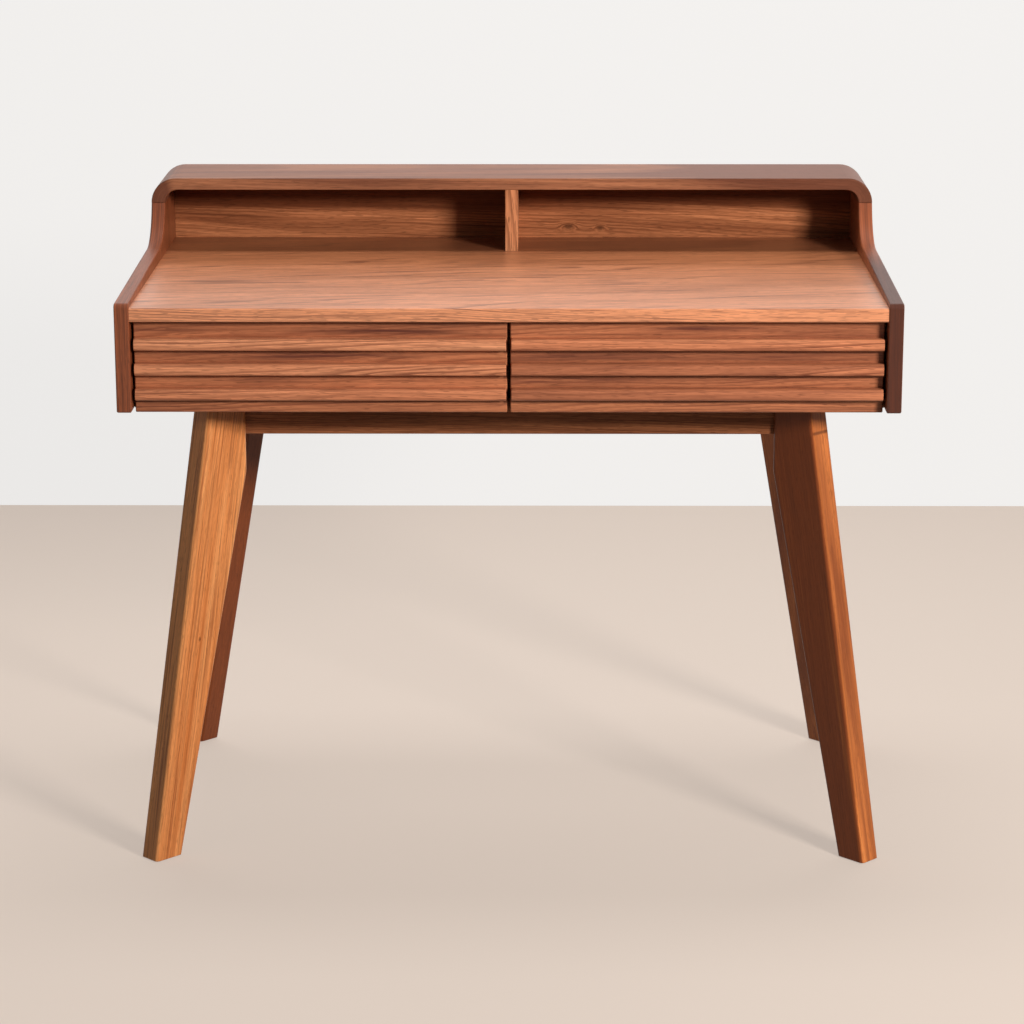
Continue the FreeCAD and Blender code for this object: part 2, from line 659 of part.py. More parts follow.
def case(bores):
    """The boards of the case and gallery, with the runners that carry the drawers."""
    for hand, side in HANDS:
        side_panel(hand, side, bores)
    cap = gallery_cap(bores)

    desktop = eased_board("desktop_board", ("-inner_half", "top_setback - half_depth", "top_under"),
                          ("inner_half", "back_rear", "top_height"), "top_ease", front_edges)
    rebate = block("desktop_rebate", ("-inner_half - overrun", "back_front", "housing_floor"),
                   ("inner_half + overrun", "back_rear + overrun", "top_height + overrun"))
    housing = block("divider_housing", ("-divider_thick / 2", "gallery_front", "housing_floor"),
                    ("divider_thick / 2", "back_front + overrun", "top_height + overrun"))
    bored("desktop", desktop, rebate, housing, bores)

    divider = eased_board("divider_board", ("-divider_thick / 2", "gallery_front", "housing_floor"),
                          ("divider_thick / 2", "back_front", "cap_under"), "divider_ease",
                          upright_front_edges)
    bored("gallery_divider", divider, bores)

    gallery_back = block("gallery_back_board", ("-inner_half", "back_front", "housing_floor"),
                         ("inner_half", "back_rear", "cap_under"))
    bored("gallery_back", gallery_back, cap, bores)

    floor = block("case_bottom_board", ("-inner_half", "case_front", "case_foot"),
                  ("inner_half", "back_front", "case_floor"))
    bored("case_bottom", floor, bores)

    case_back = block("case_back_board", ("-inner_half", "back_front", "case_foot"),
                      ("inner_half", "back_rear", "top_under"))
    bored("case_back", case_back, bores)

    stretcher = block("stretcher_board", ("-inner_half", "case_front", "stretcher_under"),
                      ("inner_half", "stretcher_rear", "top_under"))
    bored("front_stretcher", stretcher, bores)

    partition = block("partition_board",
                      ("-partition_thick / 2", "case_front + partition_setback", "case_floor"),
                      ("partition_thick / 2", "back_front", "top_under"))
    notch = block("partition_notch",
                  ("-partition_thick / 2 - overrun", "case_front - overrun",
                   "stretcher_under - stretcher_gap"),
                  ("partition_thick / 2 + overrun", "stretcher_rear + stretcher_gap",
                   "top_under + overrun"))
    bored("centre_partition", partition, notch, bores)

    for hand, side in HANDS:
        inner_low, inner_high = span(side, "partition_thick / 2", "partition_thick / 2 + runner_thick")
        outer_low, outer_high = span(side, "inner_half - runner_thick", "inner_half")
        for place_name, low, high in (("inner", inner_low, inner_high), ("outer", outer_low, outer_high)):
            name = f"{hand}_drawer_{place_name}_runner"
            strip = block(name + "_strip",
                          (low, "runner_front", "runner_middle - runner_height / 2"),
                          (high, "runner_rear", "runner_middle + runner_height / 2"))
            bored(name, strip, bores)


# Base: a frame of two aprons and two rails, with a leg seated across each corner.

def leg(name, side_x, side_y, turn, bores):
    """Flat plank on the diagonal: straight outer edge, upright head, knee and tapered foot."""
    body, sketch = body_with_sketch(name + "_plank", "XZ_Plane")
    close_outline(sketch, (("0", "glide_thick"), ("foot_width", "glide_thick"),
                           ("leg_reach", "knee_height"), ("leg_reach", "case_foot"),
                           ("leg_splay", "case_foot")))
    pad(body, sketch, "leg_thick", symmetric=True)
    knee = size("knee_height")

    def at_knee(edge, shape):
        return on_face(edge, shape, "x", 1) and edge.BoundBox.ZLength < SNAP \
            and abs(edge.BoundBox.ZMin - knee) < SNAP

    def long_edges(edge, shape):
        faces = on_face(edge, shape, "y", -1) or on_face(edge, shape, "y", 1)
        return faces and not (on_face(edge, shape, "z", -1) or on_face(edge, shape, "z", 1))

    ease(body, "knee_ease", at_knee, "knee")
    ease(body, "leg_ease", long_edges)
    sign_x, sign_y = ("-" if side < 0 else "" for side in (side_x, side_y))
    place(body, (sign_x + "foot_x", sign_y + "foot_y", "0"), turn)
    return bored(name, body, bores)


def apron(name, turn, bores):
    """Apron with its front corners cut back to seat the legs."""
    body, sketch = body_with_sketch(name + "_board", "XY_Plane")
    close_outline(sketch, (("seat_chamfer - frame_x", "-frame_y"), ("frame_x - seat_chamfer", "-frame_y"),
                           ("frame_x", "seat_chamfer - frame_y"), ("frame_x", "-frame_inner_y"),
                           ("-frame_x", "-frame_inner_y"), ("-frame_x", "seat_chamfer - frame_y")))
    pad(body, sketch, "apron_height")

    def lower_front(edge, shape):
        return on_face(edge, shape, "y", -1) and on_face(edge, shape, "z", -1)

    ease(body, "apron_ease", lower_front)
    place(body, ("0", "0", "apron_foot"), turn)
    return bored(name, body, bores)


def corner_block(name, side_x, side_y, turn, bores):
    """Triangular block glued into a corner of the frame, behind a leg's head."""
    body, sketch = body_with_sketch(name + "_prism", "XY_Plane")
    close_outline(sketch, (("0", "0"), ("block_arm", "0"), ("0", "block_arm")))
    pad(body, sketch, "block_height")
    sign_x, sign_y = ("-" if side < 0 else "" for side in (side_x, side_y))
    place(body, (sign_x + "frame_inner_x", sign_y + "frame_inner_y", "case_foot - block_height"), turn)
    return bored(name, body, bores)


def base(bores):
    """Legs, aprons, side rails, corner blocks and glides."""
    apron("front_apron", 0, bores)
    apron("rear_apron", 180, bores)
    for hand, side in HANDS:
        low, high = span(side, "frame_inner_x", "frame_x")
        rail = block(hand + "_rail_board", (low, "-frame_inner_y", "apron_foot"),
                     (high, "frame_inner_y", "case_foot"))
        bored(hand + "_side_rail", rail, bores)
    for corner, side_x, side_y, turn in leg_corners():
        leg(corner + "_leg", side_x, side_y, turn, bores)
        corner_block(corner + "_corner_block", side_x, side_y, turn - 45, bores)
    glide = pin("glide", "glide_radius", "0", "glide_thick")
    doc.recompute()
    middle = size("foot_width") / 2
    spots = [(along_leg(side_x, side_y, middle, 0), UP) for _, side_x, side_y, _ in leg_corners()]
    label("foot_glides", group("foot_glides", copies(glide, spots)))


# Drawers

def drawer_screw_places(side):
    """Screws of one drawer: through the inner front, the box corners and the stop tab."""
    near, far = size("box_near"), size("box_far")
    foot, height, wall = size("box_foot"), size("box_top") - size("box_foot"), size("box_wall")
    front_inner = size("front_rear") + wall
    places = []
    for share in front_screw_shares:
        column = side * (near + share * (far - near))
        for level in front_screw_shares:
            places.append(((column, front_inner, foot + level * height), -BACK))
    for level in corner_screw_shares:
        for row in (size("front_rear") + wall / 2, size("box_rear") - wall / 2):
            places.append(((side * near, row, foot + level * height), RIGHT * side))
            places.append(((side * far, row, foot + level * height), RIGHT * -side))
    tab_rear = size("box_rear") + size("tab_thick")
    tab_foot = size("box_top") + size("tab_rise") - size("tab_height")
    for share in tab_screw_shares:
        tab_level = tab_foot + share * size("tab_height")
        places.append(((side * (near + far) / 2, tab_rear, tab_level), -BACK))
    return places


def drawer(hand, side):
    """One drawer: slatted front, box on grooved sides, plywood floor, stop tab and screws."""
    drawer_name = hand + "_drawer"
    pattern = screw(drawer_name + "_screw", "drawer_screw_length")
    bore = screw(drawer_name + "_screw_bore", "drawer_screw_length", "screw_gap")
    doc.recompute()
    places = drawer_screw_places(side)
    label(drawer_name + "_screws", group(drawer_name + "_screws", copies(pattern, places)))
    bores = group(drawer_name + "_bores", copies(bore, places))

    low, high = span(side, "middle_reveal / 2", "inner_half - side_reveal")
    front = eased_board(drawer_name + "_front_board", (low, "front_face", "front_foot"),
                        (high, "front_rear", "front_foot + front_height"), "front_ease",
                        edges_before_back)
    bored(drawer_name + "_front", front, bores)
    for number, level in enumerate(("bottom", "middle", "top")):
        slat_foot = f"front_foot + slat_rise + {number} * slat_pitch"
        slat = eased_board(f"{drawer_name}_{level}_strip", (f"{low} + slat_inset", "slat_face", slat_foot),
                           (f"{high} - slat_inset", "front_face", f"{slat_foot} + slat_height"),
                           "slat_round", front_edges)
        ease(slat, "slat_ease", end_edges, "ends")
        label(f"{drawer_name}_{level}_slat", slat)

    inside_low, inside_high = span(side, "box_near + box_side_thick", "box_far - box_side_thick")
    tray_foot = "box_foot + tray_rise"
    tray_low = (f"{inside_low} - tray_tongue", "front_rear + box_wall - tray_tongue", tray_foot)
    tray_high = (f"{inside_high} + tray_tongue", "box_rear - box_wall + tray_tongue",
                 f"{tray_foot} + tray_thick")
    tray_slot = block(drawer_name + "_tray_slot", [f"{text} - tray_gap" for text in tray_low],
                      [f"{text} + tray_gap" for text in tray_high])
    label(drawer_name + "_floor", block(drawer_name + "_tray", tray_low, tray_high))

    for wall_name, start, end in (("box_front", "front_rear", "front_rear + box_wall"),
                                  ("back", "box_rear - box_wall", "box_rear")):
        wall = block(f"{drawer_name}_{wall_name}_board", (inside_low, start, "box_foot"),
                     (inside_high, end, "box_top"))
        bored(f"{drawer_name}_{wall_name}", wall, tray_slot, bores)

    groove_half = "(runner_height / 2 + runner_gap)"
    for side_name, near, far, groove_near, groove_far in (
            ("inner", "box_near", "box_near + box_side_thick",
             "box_near - overrun", "box_near + groove_depth"),
            ("outer", "box_far - box_side_thick", "box_far",
             "box_far - groove_depth", "box_far + overrun")):
        board_low, board_high = span(side, near, far)
        groove_low, groove_high = span(side, groove_near, groove_far)
        name = f"{drawer_name}_{side_name}_side"
        board = block(name + "_board", (board_low, "front_rear", "box_foot"),
                      (board_high, "box_rear", "box_top"))
        groove = block(name + "_groove",
                       (groove_low, "runner_front - runner_gap", f"runner_middle - {groove_half}"),
                       (groove_high, "box_rear + overrun", f"runner_middle + {groove_half}"))
        bored(name, board, groove, tray_slot, bores)

    middle = f"({inside_low} + {inside_high}) / 2"
    tab = block(drawer_name + "_tab",
                (f"{middle} - tab_width / 2", "box_rear", "box_top + tab_rise - tab_height"),
                (f"{middle} + tab_width / 2", "box_rear + tab_thick", "box_top + tab_rise"))
    bored(drawer_name + "_stop_tab", tab, bores)


# The whole desk

fill_sheet()
fixed_bores = fixed_fasteners()
case(fixed_bores)
base(fixed_bores)
for hand_name, hand_side in HANDS:
    drawer(hand_name, hand_side)
doc.recompute()

for thing in doc.Objects:
    if "Invalid" in thing.State or "Error" in thing.State:
        raise RuntimeError(f"{thing.Label} failed: {thing.State}")

os.makedirs("parts", exist_ok=True)
for node, thing in nodes.items():
    shape = thing.Shape
    if shape.isNull() or not shape.isValid() or not shape.Solids:
        raise RuntimeError(f"{node} has no sound solid")
    shape.exportStep(f"parts/{node}.step")
print(f"{len(nodes)} nodes")
print("drawer travel to its stop", size("box_rear") - size("stretcher_rear"))
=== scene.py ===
"""Looks of the writing desk: timbers, hardware, room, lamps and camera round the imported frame."""

import logging
import math
from dataclasses import dataclass, field, replace
from enum import Enum

import bpy
from mathutils import Matrix, Vector


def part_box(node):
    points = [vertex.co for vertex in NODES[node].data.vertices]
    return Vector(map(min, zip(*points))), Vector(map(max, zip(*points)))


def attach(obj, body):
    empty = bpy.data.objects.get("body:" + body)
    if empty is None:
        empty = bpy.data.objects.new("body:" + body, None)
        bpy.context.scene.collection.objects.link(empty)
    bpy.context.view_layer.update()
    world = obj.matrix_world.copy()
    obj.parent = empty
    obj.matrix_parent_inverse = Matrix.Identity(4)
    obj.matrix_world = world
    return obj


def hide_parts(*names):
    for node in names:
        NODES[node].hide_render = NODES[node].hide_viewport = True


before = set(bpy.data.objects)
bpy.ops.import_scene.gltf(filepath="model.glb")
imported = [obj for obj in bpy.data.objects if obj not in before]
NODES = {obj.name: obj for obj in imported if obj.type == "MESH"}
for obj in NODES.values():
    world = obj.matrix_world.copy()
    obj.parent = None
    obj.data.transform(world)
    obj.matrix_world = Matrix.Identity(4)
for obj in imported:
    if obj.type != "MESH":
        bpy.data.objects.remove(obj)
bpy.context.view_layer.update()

log = logging.getLogger("writing_desk")

MM = 0.001
SLANT = math.sqrt(0.5)

# Kinds of node that the patterns use most.
MATH, VECTORS, RANGE = "ShaderNodeMath", "ShaderNodeVectorMath", "ShaderNodeMapRange"
JOIN, SPLIT, NOISE = "ShaderNodeCombineXYZ", "ShaderNodeSeparateXYZ", "ShaderNodeTexNoise"

Point = tuple[float, float, float]
Spot = tuple[Point, Point]
Colour = tuple[float, float, float, float]
Node, Socket, Tree = bpy.types.Node, bpy.types.NodeSocket, bpy.types.NodeTree
Material = bpy.types.Material
Given = float | str | tuple | Node | Socket
Inputs = dict[int | str, Given | list[Given]] | tuple[Given, ...] | list[Given]


def linear(code: str) -> Colour:
    """Turn an sRGB hex colour into the linear RGBA that shaders take.

    Args:
        code: colour such as "#8A5A3B".

    Returns:
        Linear red, green, blue and alpha.
    """
    shares = [int(code[place:place + 2], 16) / 255 for place in (1, 3, 5)]
    return (*(s / 12.92 if s <= 0.04045 else ((s + 0.055) / 1.055) ** 2.4 for s in shares), 1.0)


def add(tree: Tree, kind: str, inputs: Inputs = (), **settings: str | int | bool | Tree) -> Node:
    """Add one node to a tree, with its settings and links.

    Args:
        tree: the node tree that gets the node.
        kind: the node's type.
        inputs: what goes into its sockets, in their order or by name or number: a value, a
            socket, a node, which stands for its first output, or a list of those for a socket
            that takes several.
        settings: the node's own settings.

    Returns:
        The new node.
    """
    node = tree.nodes.new(kind)
    for name, value in settings.items():
        setattr(node, name, value)
    for key, given in inputs.items() if isinstance(inputs, dict) else enumerate(inputs):
        for value in given if isinstance(given, list) else [given]:
            if isinstance(value, Node):
                value = value.outputs[0]
            if isinstance(value, Socket):
                tree.links.new(value, node.inputs[key])
            else:
                node.inputs[key].default_value = value
    return node


def blank(owner: Material | bpy.types.World) -> Tree:
    """Empty the nodes of a new material or of a new world.

    Args:
        owner: the material or world.

    Returns:
        Its node tree.
    """
    owner.use_nodes = True
    owner.node_tree.nodes.clear()
    return owner.node_tree


def stand(name: str, data: bpy.types.ID) -> bpy.types.Object:
    """Put a mesh, a light or a camera in the scene.

    Args:
        name: the object's name.
        data: what it shows.

    Returns:
        The new object, at the origin.
    """
    thing = bpy.data.objects.new(name, data)
    bpy.context.scene.collection.objects.link(thing)
    return thing


def seen(tree: Tree) -> Node:
    """Tell the rays that show a surface from those that only light others by it.

    Args:
        tree: the node tree of a paint or of the air.

    Returns:
        A node that gives 1 to the camera's rays, and to those in a mirror or through glass that
        haven't yet met a matt face.
    """
    rays = add(tree, "ShaderNodeLightPath").outputs
    sharp = add(tree, MATH, (rays["Is Glossy Ray"], rays["Is Transmission Ray"]),
                operation="MAXIMUM")
    first = add(tree, MATH, (rays["Diffuse Depth"], 0.5), operation="LESS_THAN")
    sharp = add(tree, MATH, (sharp, first), operation="MULTIPLY")
    return add(tree, MATH, (rays["Is Camera Ray"], sharp), operation="MAXIMUM")


@dataclass(frozen=True)
class Lay:
    """How a board lies: the way its fibres run, and the way across them in its face."""

    along: Point
    across: Point

    def turn(self) -> Point:
        """Give the turn that brings the fibres onto the pattern's first axis."""
        along, across = Vector(self.along), Vector(self.across)
        return tuple(Matrix((along, across, along.cross(across))).to_euler("XYZ"))


class Grain(Enum):
    """The ways in which the square boards lie."""

    FLAT = Lay((1, 0, 0), (0, 1, 0))
    STANDING = Lay((1, 0, 0), (0, 0, 1))
    UPRIGHT = Lay((0, 0, 1), (0, 1, 0))
    DEEP_STANDING = Lay((0, 1, 0), (0, 0, 1))


@dataclass(frozen=True)
class Cut:
    """Where in the log a board was cut, in millimetres, and what shows on its face.

    The pattern's first axis runs along the fibres, the second across the board's face and the
    third through it. A knot is its place along and across the board and its size, and a streak of
    heartwood is its place and half its length.
    """

    lay: Lay = Grain.FLAT.value
    place: Point = (0.0, 0.0, 0.0)
    seed: float = 0.0
    pith: tuple[float, float] = (40.0, -60.0)
    slope: float = 0.0
    taper: float = 0.03
    shade: float = 0.0
    stave: float = 10000.0
    stave_spread: float = 0.0
    knots: tuple[Point, ...] = ()
    streaks: tuple[Point, ...] = ()


class TimberPattern:
    """The shader group that all the timbers share: rings, streaks, fibres, pores and knots."""

    NAME = "timber_pattern"
    KNOTS = ("First knot", "Second knot")
    STREAKS = ("First streak", "Second streak", "Third streak", "Fourth streak")
    VECTORS = ("Place", "Pith", *KNOTS, *STREAKS)
    OF_CUT = ("Seed", "Slope", "Taper", "Stave", "Stave spread")
    OF_TIMBER = ("Ring", "Waver", "Reach", "Tone spread", "Line share", "Streak share",
                 "Pore share", "Pore length", "Pore width")
    COLOURS = ("Pale", "Middle", "Deep", "Line", "Pore")

    # Millimetres of log that staves may come from, what sets one stave's chance apart from the
    # next one's, and half the width of the seam between them.
    LOG, STAVE_CHANCE, SEAM = 3000.0, 7.31, 0.9
    # How far knots and streaks reach along and across, and how far a knot lifts the rings, as
    # shares of their own size.
    KNOT_REACH, STREAK_REACH, KNOT_LIFT = (1.7, 1.0), (1.0, 0.045), 1.5
    # Shares of a year's growth where latewood starts, is darkest and ends.
    LATE_START, LATE_FULL, LATE_END = 0.35, 0.85, 1.0

    def __init__(self) -> None:
        """Build the group."""
        self.tree = bpy.data.node_groups.new(self.NAME, "ShaderNodeTree")
        new_socket = self.tree.interface.new_socket
        for names, kind in ((self.VECTORS, "Vector"), (self.COLOURS, "Color"),
                            ((*self.OF_CUT, *self.OF_TIMBER, "Shade"), "Float")):
            for name in names:
                new_socket(name, in_out="INPUT", socket_type="NodeSocket" + kind)
        for name, kind in (("Colour", "Color"), ("Polish", "Float"), ("Height", "Float")):
            new_socket(name, in_out="OUTPUT", socket_type="NodeSocket" + kind)
        self.given = add(self.tree, "NodeGroupInput").outputs
        self.build()

    def noise(self, point: tuple[Given, ...], chance: Node, along: float, across: float,
              detail: float) -> Node:
        """Noise stretched along the fibres.

        Args:
            point: the place along, across and through the board.
            chance: number that tells one board's noise from another's.
            along: length of the noise's patches, in millimetres.
            across: their width.
            detail: finer layers on top.

        Returns:
            The noise node, with its value first.
        """
        parts = [add(self.tree, MATH, (value, 1 / size, chance), operation="MULTIPLY_ADD")
                 for value, size in zip(point, (along, across, across))]
        return add(self.tree, NOISE, {
            "Vector": add(self.tree, JOIN, parts), "Scale": 1.0,
            "Detail": detail, "Roughness": 0.55})

    def spot(self, name: str, point: tuple[Given, ...], length: float, width: float) -> Node:
        """How near a point is to a knot or streak, from 0 far away to 1 at its heart.

        Args:
            name: group input that holds its place and its size.
            point: the place along and across the board.
            length: reach along the fibres, as a share of its size.
            width: reach across them.

        Returns:
            The node with that nearness.
        """
        tree = self.tree
        at = add(tree, SPLIT, (self.given[name],)).outputs
        size = add(tree, MATH, (at[2], 0.001), operation="MAXIMUM")
        sides = []
        for share, here, heart in zip((length, width), point, at):
            reach = add(tree, MATH, (size, share), operation="MULTIPLY")
            away = add(tree, MATH, (here, heart), operation="SUBTRACT")
            sides.append(add(tree, MATH, (away, reach), operation="DIVIDE"))
        away = add(tree, JOIN, sides)
        far = add(tree, VECTORS, (away, away), operation="DOT_PRODUCT")
        fall = add(tree, MATH, (far.outputs[1], -1.0), operation="MULTIPLY")
        return add(tree, MATH, (fall,), operation="EXPONENT")

    def build(self) -> None:
        """Wire the group."""
        tree, given = self.tree, self.given
        at = add(tree, SPLIT, (given["Place"],)).outputs

        # Staves: each strip of a glued-up board comes from its own place in the log.
        row = add(tree, MATH, (at[1], given["Stave"]), operation="DIVIDE")
        row = add(tree, MATH, (row,), operation="ROUND")
        start = add(tree, MATH, (row, given["Stave"]), operation="MULTIPLY")
        across = add(tree, MATH, (at[1], start), operation="SUBTRACT")
        chance = add(tree, MATH, (row, self.STAVE_CHANCE, given["Seed"]), operation="MULTIPLY_ADD")
        luck = add(tree, "ShaderNodeTexWhiteNoise", {"W": chance}, noise_dimensions="1D")
        luck = add(tree, "ShaderNodeSeparateColor", (luck.outputs["Color"],)).outputs
        along = add(tree, MATH, (luck[0], self.LOG, at[0]), operation="MULTIPLY_ADD")
        drift = add(tree, MATH, (luck[1], 0.5), operation="SUBTRACT")
        drift = add(tree, MATH, (drift, given["Stave spread"], across), operation="MULTIPLY_ADD")
        drift = add(tree, MATH, (at[0], given["Slope"], drift), operation="MULTIPLY_ADD")
        edge = add(tree, MATH, (across,), operation="ABSOLUTE")
        half = add(tree, MATH, (given["Stave"], 0.5, -self.SEAM), operation="MULTIPLY_ADD")
        seam = add(tree, MATH, (edge, half), operation="GREATER_THAN")

        # The rings wander slowly and shiver a little, and knots push them aside.
        reach = given["Reach"]
        slow = add(tree, MATH, (along, reach), operation="DIVIDE")
        narrow = add(tree, MATH, (reach, 0.16), operation="MULTIPLY")
        slow = add(tree, JOIN, (
            add(tree, MATH, (slow, chance), operation="ADD"),
            add(tree, MATH, (drift, narrow), operation="DIVIDE"),
            add(tree, MATH, (at[2], narrow), operation="DIVIDE")))
        wander = add(tree, NOISE, {"Vector": slow, "Scale": 1.0, "Detail": 1.5, "Roughness": 0.45})
        shiver = self.noise((along, drift, at[2]), chance, 55.0, 9.0, 1.0)
        bends = []
        for source, share in ((wander, 2.0), (shiver, 0.16)):
            centred = add(tree, VECTORS, (
                source.outputs["Color"], (0.5, 0.5, 0.5)), operation="SUBTRACT")
            size = add(tree, MATH, (given["Waver"], share), operation="MULTIPLY")
            bends.append(add(tree, VECTORS, {0: centred, "Scale": size}, operation="SCALE"))
        bend = add(tree, VECTORS, (bends[0], bends[1]), operation="ADD")
        bend = add(tree, SPLIT, (bend,)).outputs
        knots = [self.spot(name, at, *self.KNOT_REACH) for name in self.KNOTS]
        side = add(tree, MATH, (drift, bend[0]), operation="ADD")
        depth = add(tree, MATH, (at[2], bend[1]), operation="ADD")
        for knot, name in zip(knots, self.KNOTS):
            size = add(tree, SPLIT, (given[name],)).outputs[2]
            size = add(tree, MATH, (size, self.KNOT_LIFT), operation="MULTIPLY")
            depth = add(tree, MATH, (knot, size, depth), operation="MULTIPLY_ADD")

        # Rings round the pith: dark latewood builds up slowly and ends sharply.
        pith = add(tree, SPLIT, (given["Pith"],)).outputs
        spoke = add(tree, JOIN, (
            add(tree, MATH, (side, pith[1]), operation="SUBTRACT"),
            add(tree, MATH, (depth, pith[2]), operation="SUBTRACT")))
        radius = add(tree, VECTORS, (spoke,), operation="LENGTH").outputs[1]
        radius = add(tree, MATH, (along, given["Taper"], radius), operation="MULTIPLY_ADD")
        count = add(tree, MATH, (radius, given["Ring"]), operation="DIVIDE")
        uneven = add(tree, MATH, (count, 0.23, chance), operation="MULTIPLY_ADD")
        uneven = add(tree, NOISE, {"W": uneven, "Scale": 1.0, "Detail": 1.0},
                     noise_dimensions="1D")
        phase = add(tree, MATH, (uneven, 1.6, count), operation="MULTIPLY_ADD")
        part = add(tree, MATH, (phase,), operation="FRACT")
        year = add(tree, MATH, (phase,), operation="FLOOR")
        rise = add(tree, RANGE, (part, self.LATE_START, self.LATE_FULL),
                   interpolation_type="SMOOTHSTEP")
        fall = add(tree, RANGE, (part, self.LATE_FULL, self.LATE_END, 1.0, 0.0),
                   interpolation_type="SMOOTHSTEP")
        late = add(tree, MATH, (rise, fall), operation="MULTIPLY")
        vigour = add(tree, "ShaderNodeTexWhiteNoise", {"W": year}, noise_dimensions="1D")
        vigour = add(tree, RANGE, {0: vigour.outputs["Value"], 3: 0.3, 4: 1.0})
        fade = self.noise((along, side, depth), chance, 260.0, 16.0, 2.0)
        fade = add(tree, RANGE, (fade, 0.38, 0.6, 0.25, 1.0))
        for share in (vigour, fade, given["Line share"]):
            late = add(tree, MATH, (late, share), operation="MULTIPLY")

        # Broad tone that follows the growth, staves lighter or darker than their neighbours, and
        # the streaks of heartwood that this board shows.
        tone_at = add(tree, JOIN, (
            add(tree, MATH, (along, 1 / 700, chance), operation="MULTIPLY_ADD"),
            add(tree, MATH, (radius, 1 / 15), operation="MULTIPLY")))
        tone = add(tree, NOISE, {"Vector": tone_at, "Scale": 1.0, "Detail": 3.0, "Roughness": 0.6})
        tone = add(tree, MATH, (tone, 0.5), operation="SUBTRACT")
        tone = add(tree, MATH, (tone, given["Tone spread"], given["Shade"]),
                   operation="MULTIPLY_ADD")
        tone = add(tree, MATH, (luck[2], 0.3, tone), operation="MULTIPLY_ADD")
        tone = add(tree, MATH, (tone, 0.35), operation="ADD")
        lengthwise = add(tree, MATH, (bend[0], 0.6, at[1]), operation="MULTIPLY_ADD")
        sloped = add(tree, MATH, (at[0], given["Slope"], lengthwise), operation="MULTIPLY_ADD")
        stains = [self.spot(name, (at[0], sloped), *self.STREAK_REACH) for name in self.STREAKS]
        vein = self.noise((along, side, depth), chance, 200.0, 3.4, 3.0)
        streak = add(tree, RANGE, (vein, 0.5, 0.68), interpolation_type="SMOOTHSTEP")
        streak = add(tree, MATH, (streak, given["Streak share"]), operation="MULTIPLY")
        ragged = add(tree, RANGE, (vein, 0.38, 0.6, 0.2, 1.0))
        for stain in stains:
            share = add(tree, MATH, (stain, ragged), operation="MULTIPLY")
            streak = add(tree, MATH, (streak, share), operation="MAXIMUM")

        # Fibres and pores are finer than the picture can hold, so both are drawn coarser.
        fibre = self.noise((along, across, at[2]), chance, 40.0, 1.1, 2.0)
        strand = self.noise((along, side, depth), chance, 150.0, 2.4, 2.0)
        pores_at = add(tree, JOIN, [
            add(tree, MATH, (way, given[f"Pore {size}"]), operation="DIVIDE")
            for way, size in ((along, "length"), (side, "width"), (depth, "width"))])
        pore = add(tree, NOISE, {"Vector": pores_at, "Scale": 1.0, "Detail": 0.0})
        pore = add(tree, RANGE, (pore, 0.58, 0.68))
        early = add(tree, RANGE, (part, 0.0, 0.7, 1.0, 0.3))
        pore = add(tree, MATH, (pore, early), operation="MULTIPLY")
        dark_pore = add(tree, MATH, (pore, given["Pore share"]), operation="MULTIPLY")
        heart = add(tree, MATH, (knots[0], knots[1]), operation="MAXIMUM")
        heart = add(tree, RANGE, (heart, 0.35, 1.0, 0.0, 0.65), interpolation_type="SMOOTHSTEP")

        light = add(tree, RANGE, (tone, 0.0, 0.5))
        colour = add(tree, "ShaderNodeMix", {0: light, 6: given["Pale"], 7: given["Middle"]},
                     data_type="RGBA")
        dark = add(tree, RANGE, (tone, 0.5, 1.0))
        seam = add(tree, MATH, (seam, 0.5), operation="MULTIPLY")
        for share, stain in ((dark, "Deep"), (late, "Line"), (streak, "Deep"), (seam, "Pale"),
                             (dark_pore, "Pore"), (heart, "Pore")):
            colour = add(tree, "ShaderNodeMix", {0: share, 6: colour.outputs[2], 7: given[stain]},
                         data_type="RGBA")
        lift = add(tree, MATH, (fibre, strand), operation="ADD")
        lift = add(tree, RANGE, (lift, 0.6, 1.4, 0.76, 1.24), clamp=False)
        shaded = add(tree, VECTORS, {0: colour.outputs[2], "Scale": lift}, operation="SCALE")
        polish = add(tree, MATH, (fibre, 0.5), operation="SUBTRACT")
        polish = add(tree, MATH, (pore, 0.5, polish), operation="MULTIPLY_ADD")
        height = add(tree, MATH, (pore, -1.0, fibre), operation="MULTIPLY_ADD")
        add(tree, "NodeGroupOutput", {"Colour": shaded, "Polish": polish, "Height": height})


class Fitting:
    """Fits the timber pattern to a plain board."""

    def place(self, tree: Tree, at: Socket) -> Socket:
        """Give the point of the pattern, in metres, for a point of the board."""
        return at

    def shade(self, tree: Tree, shade: float) -> float | Node:
        """Give how much darker the board is there."""
        return shade


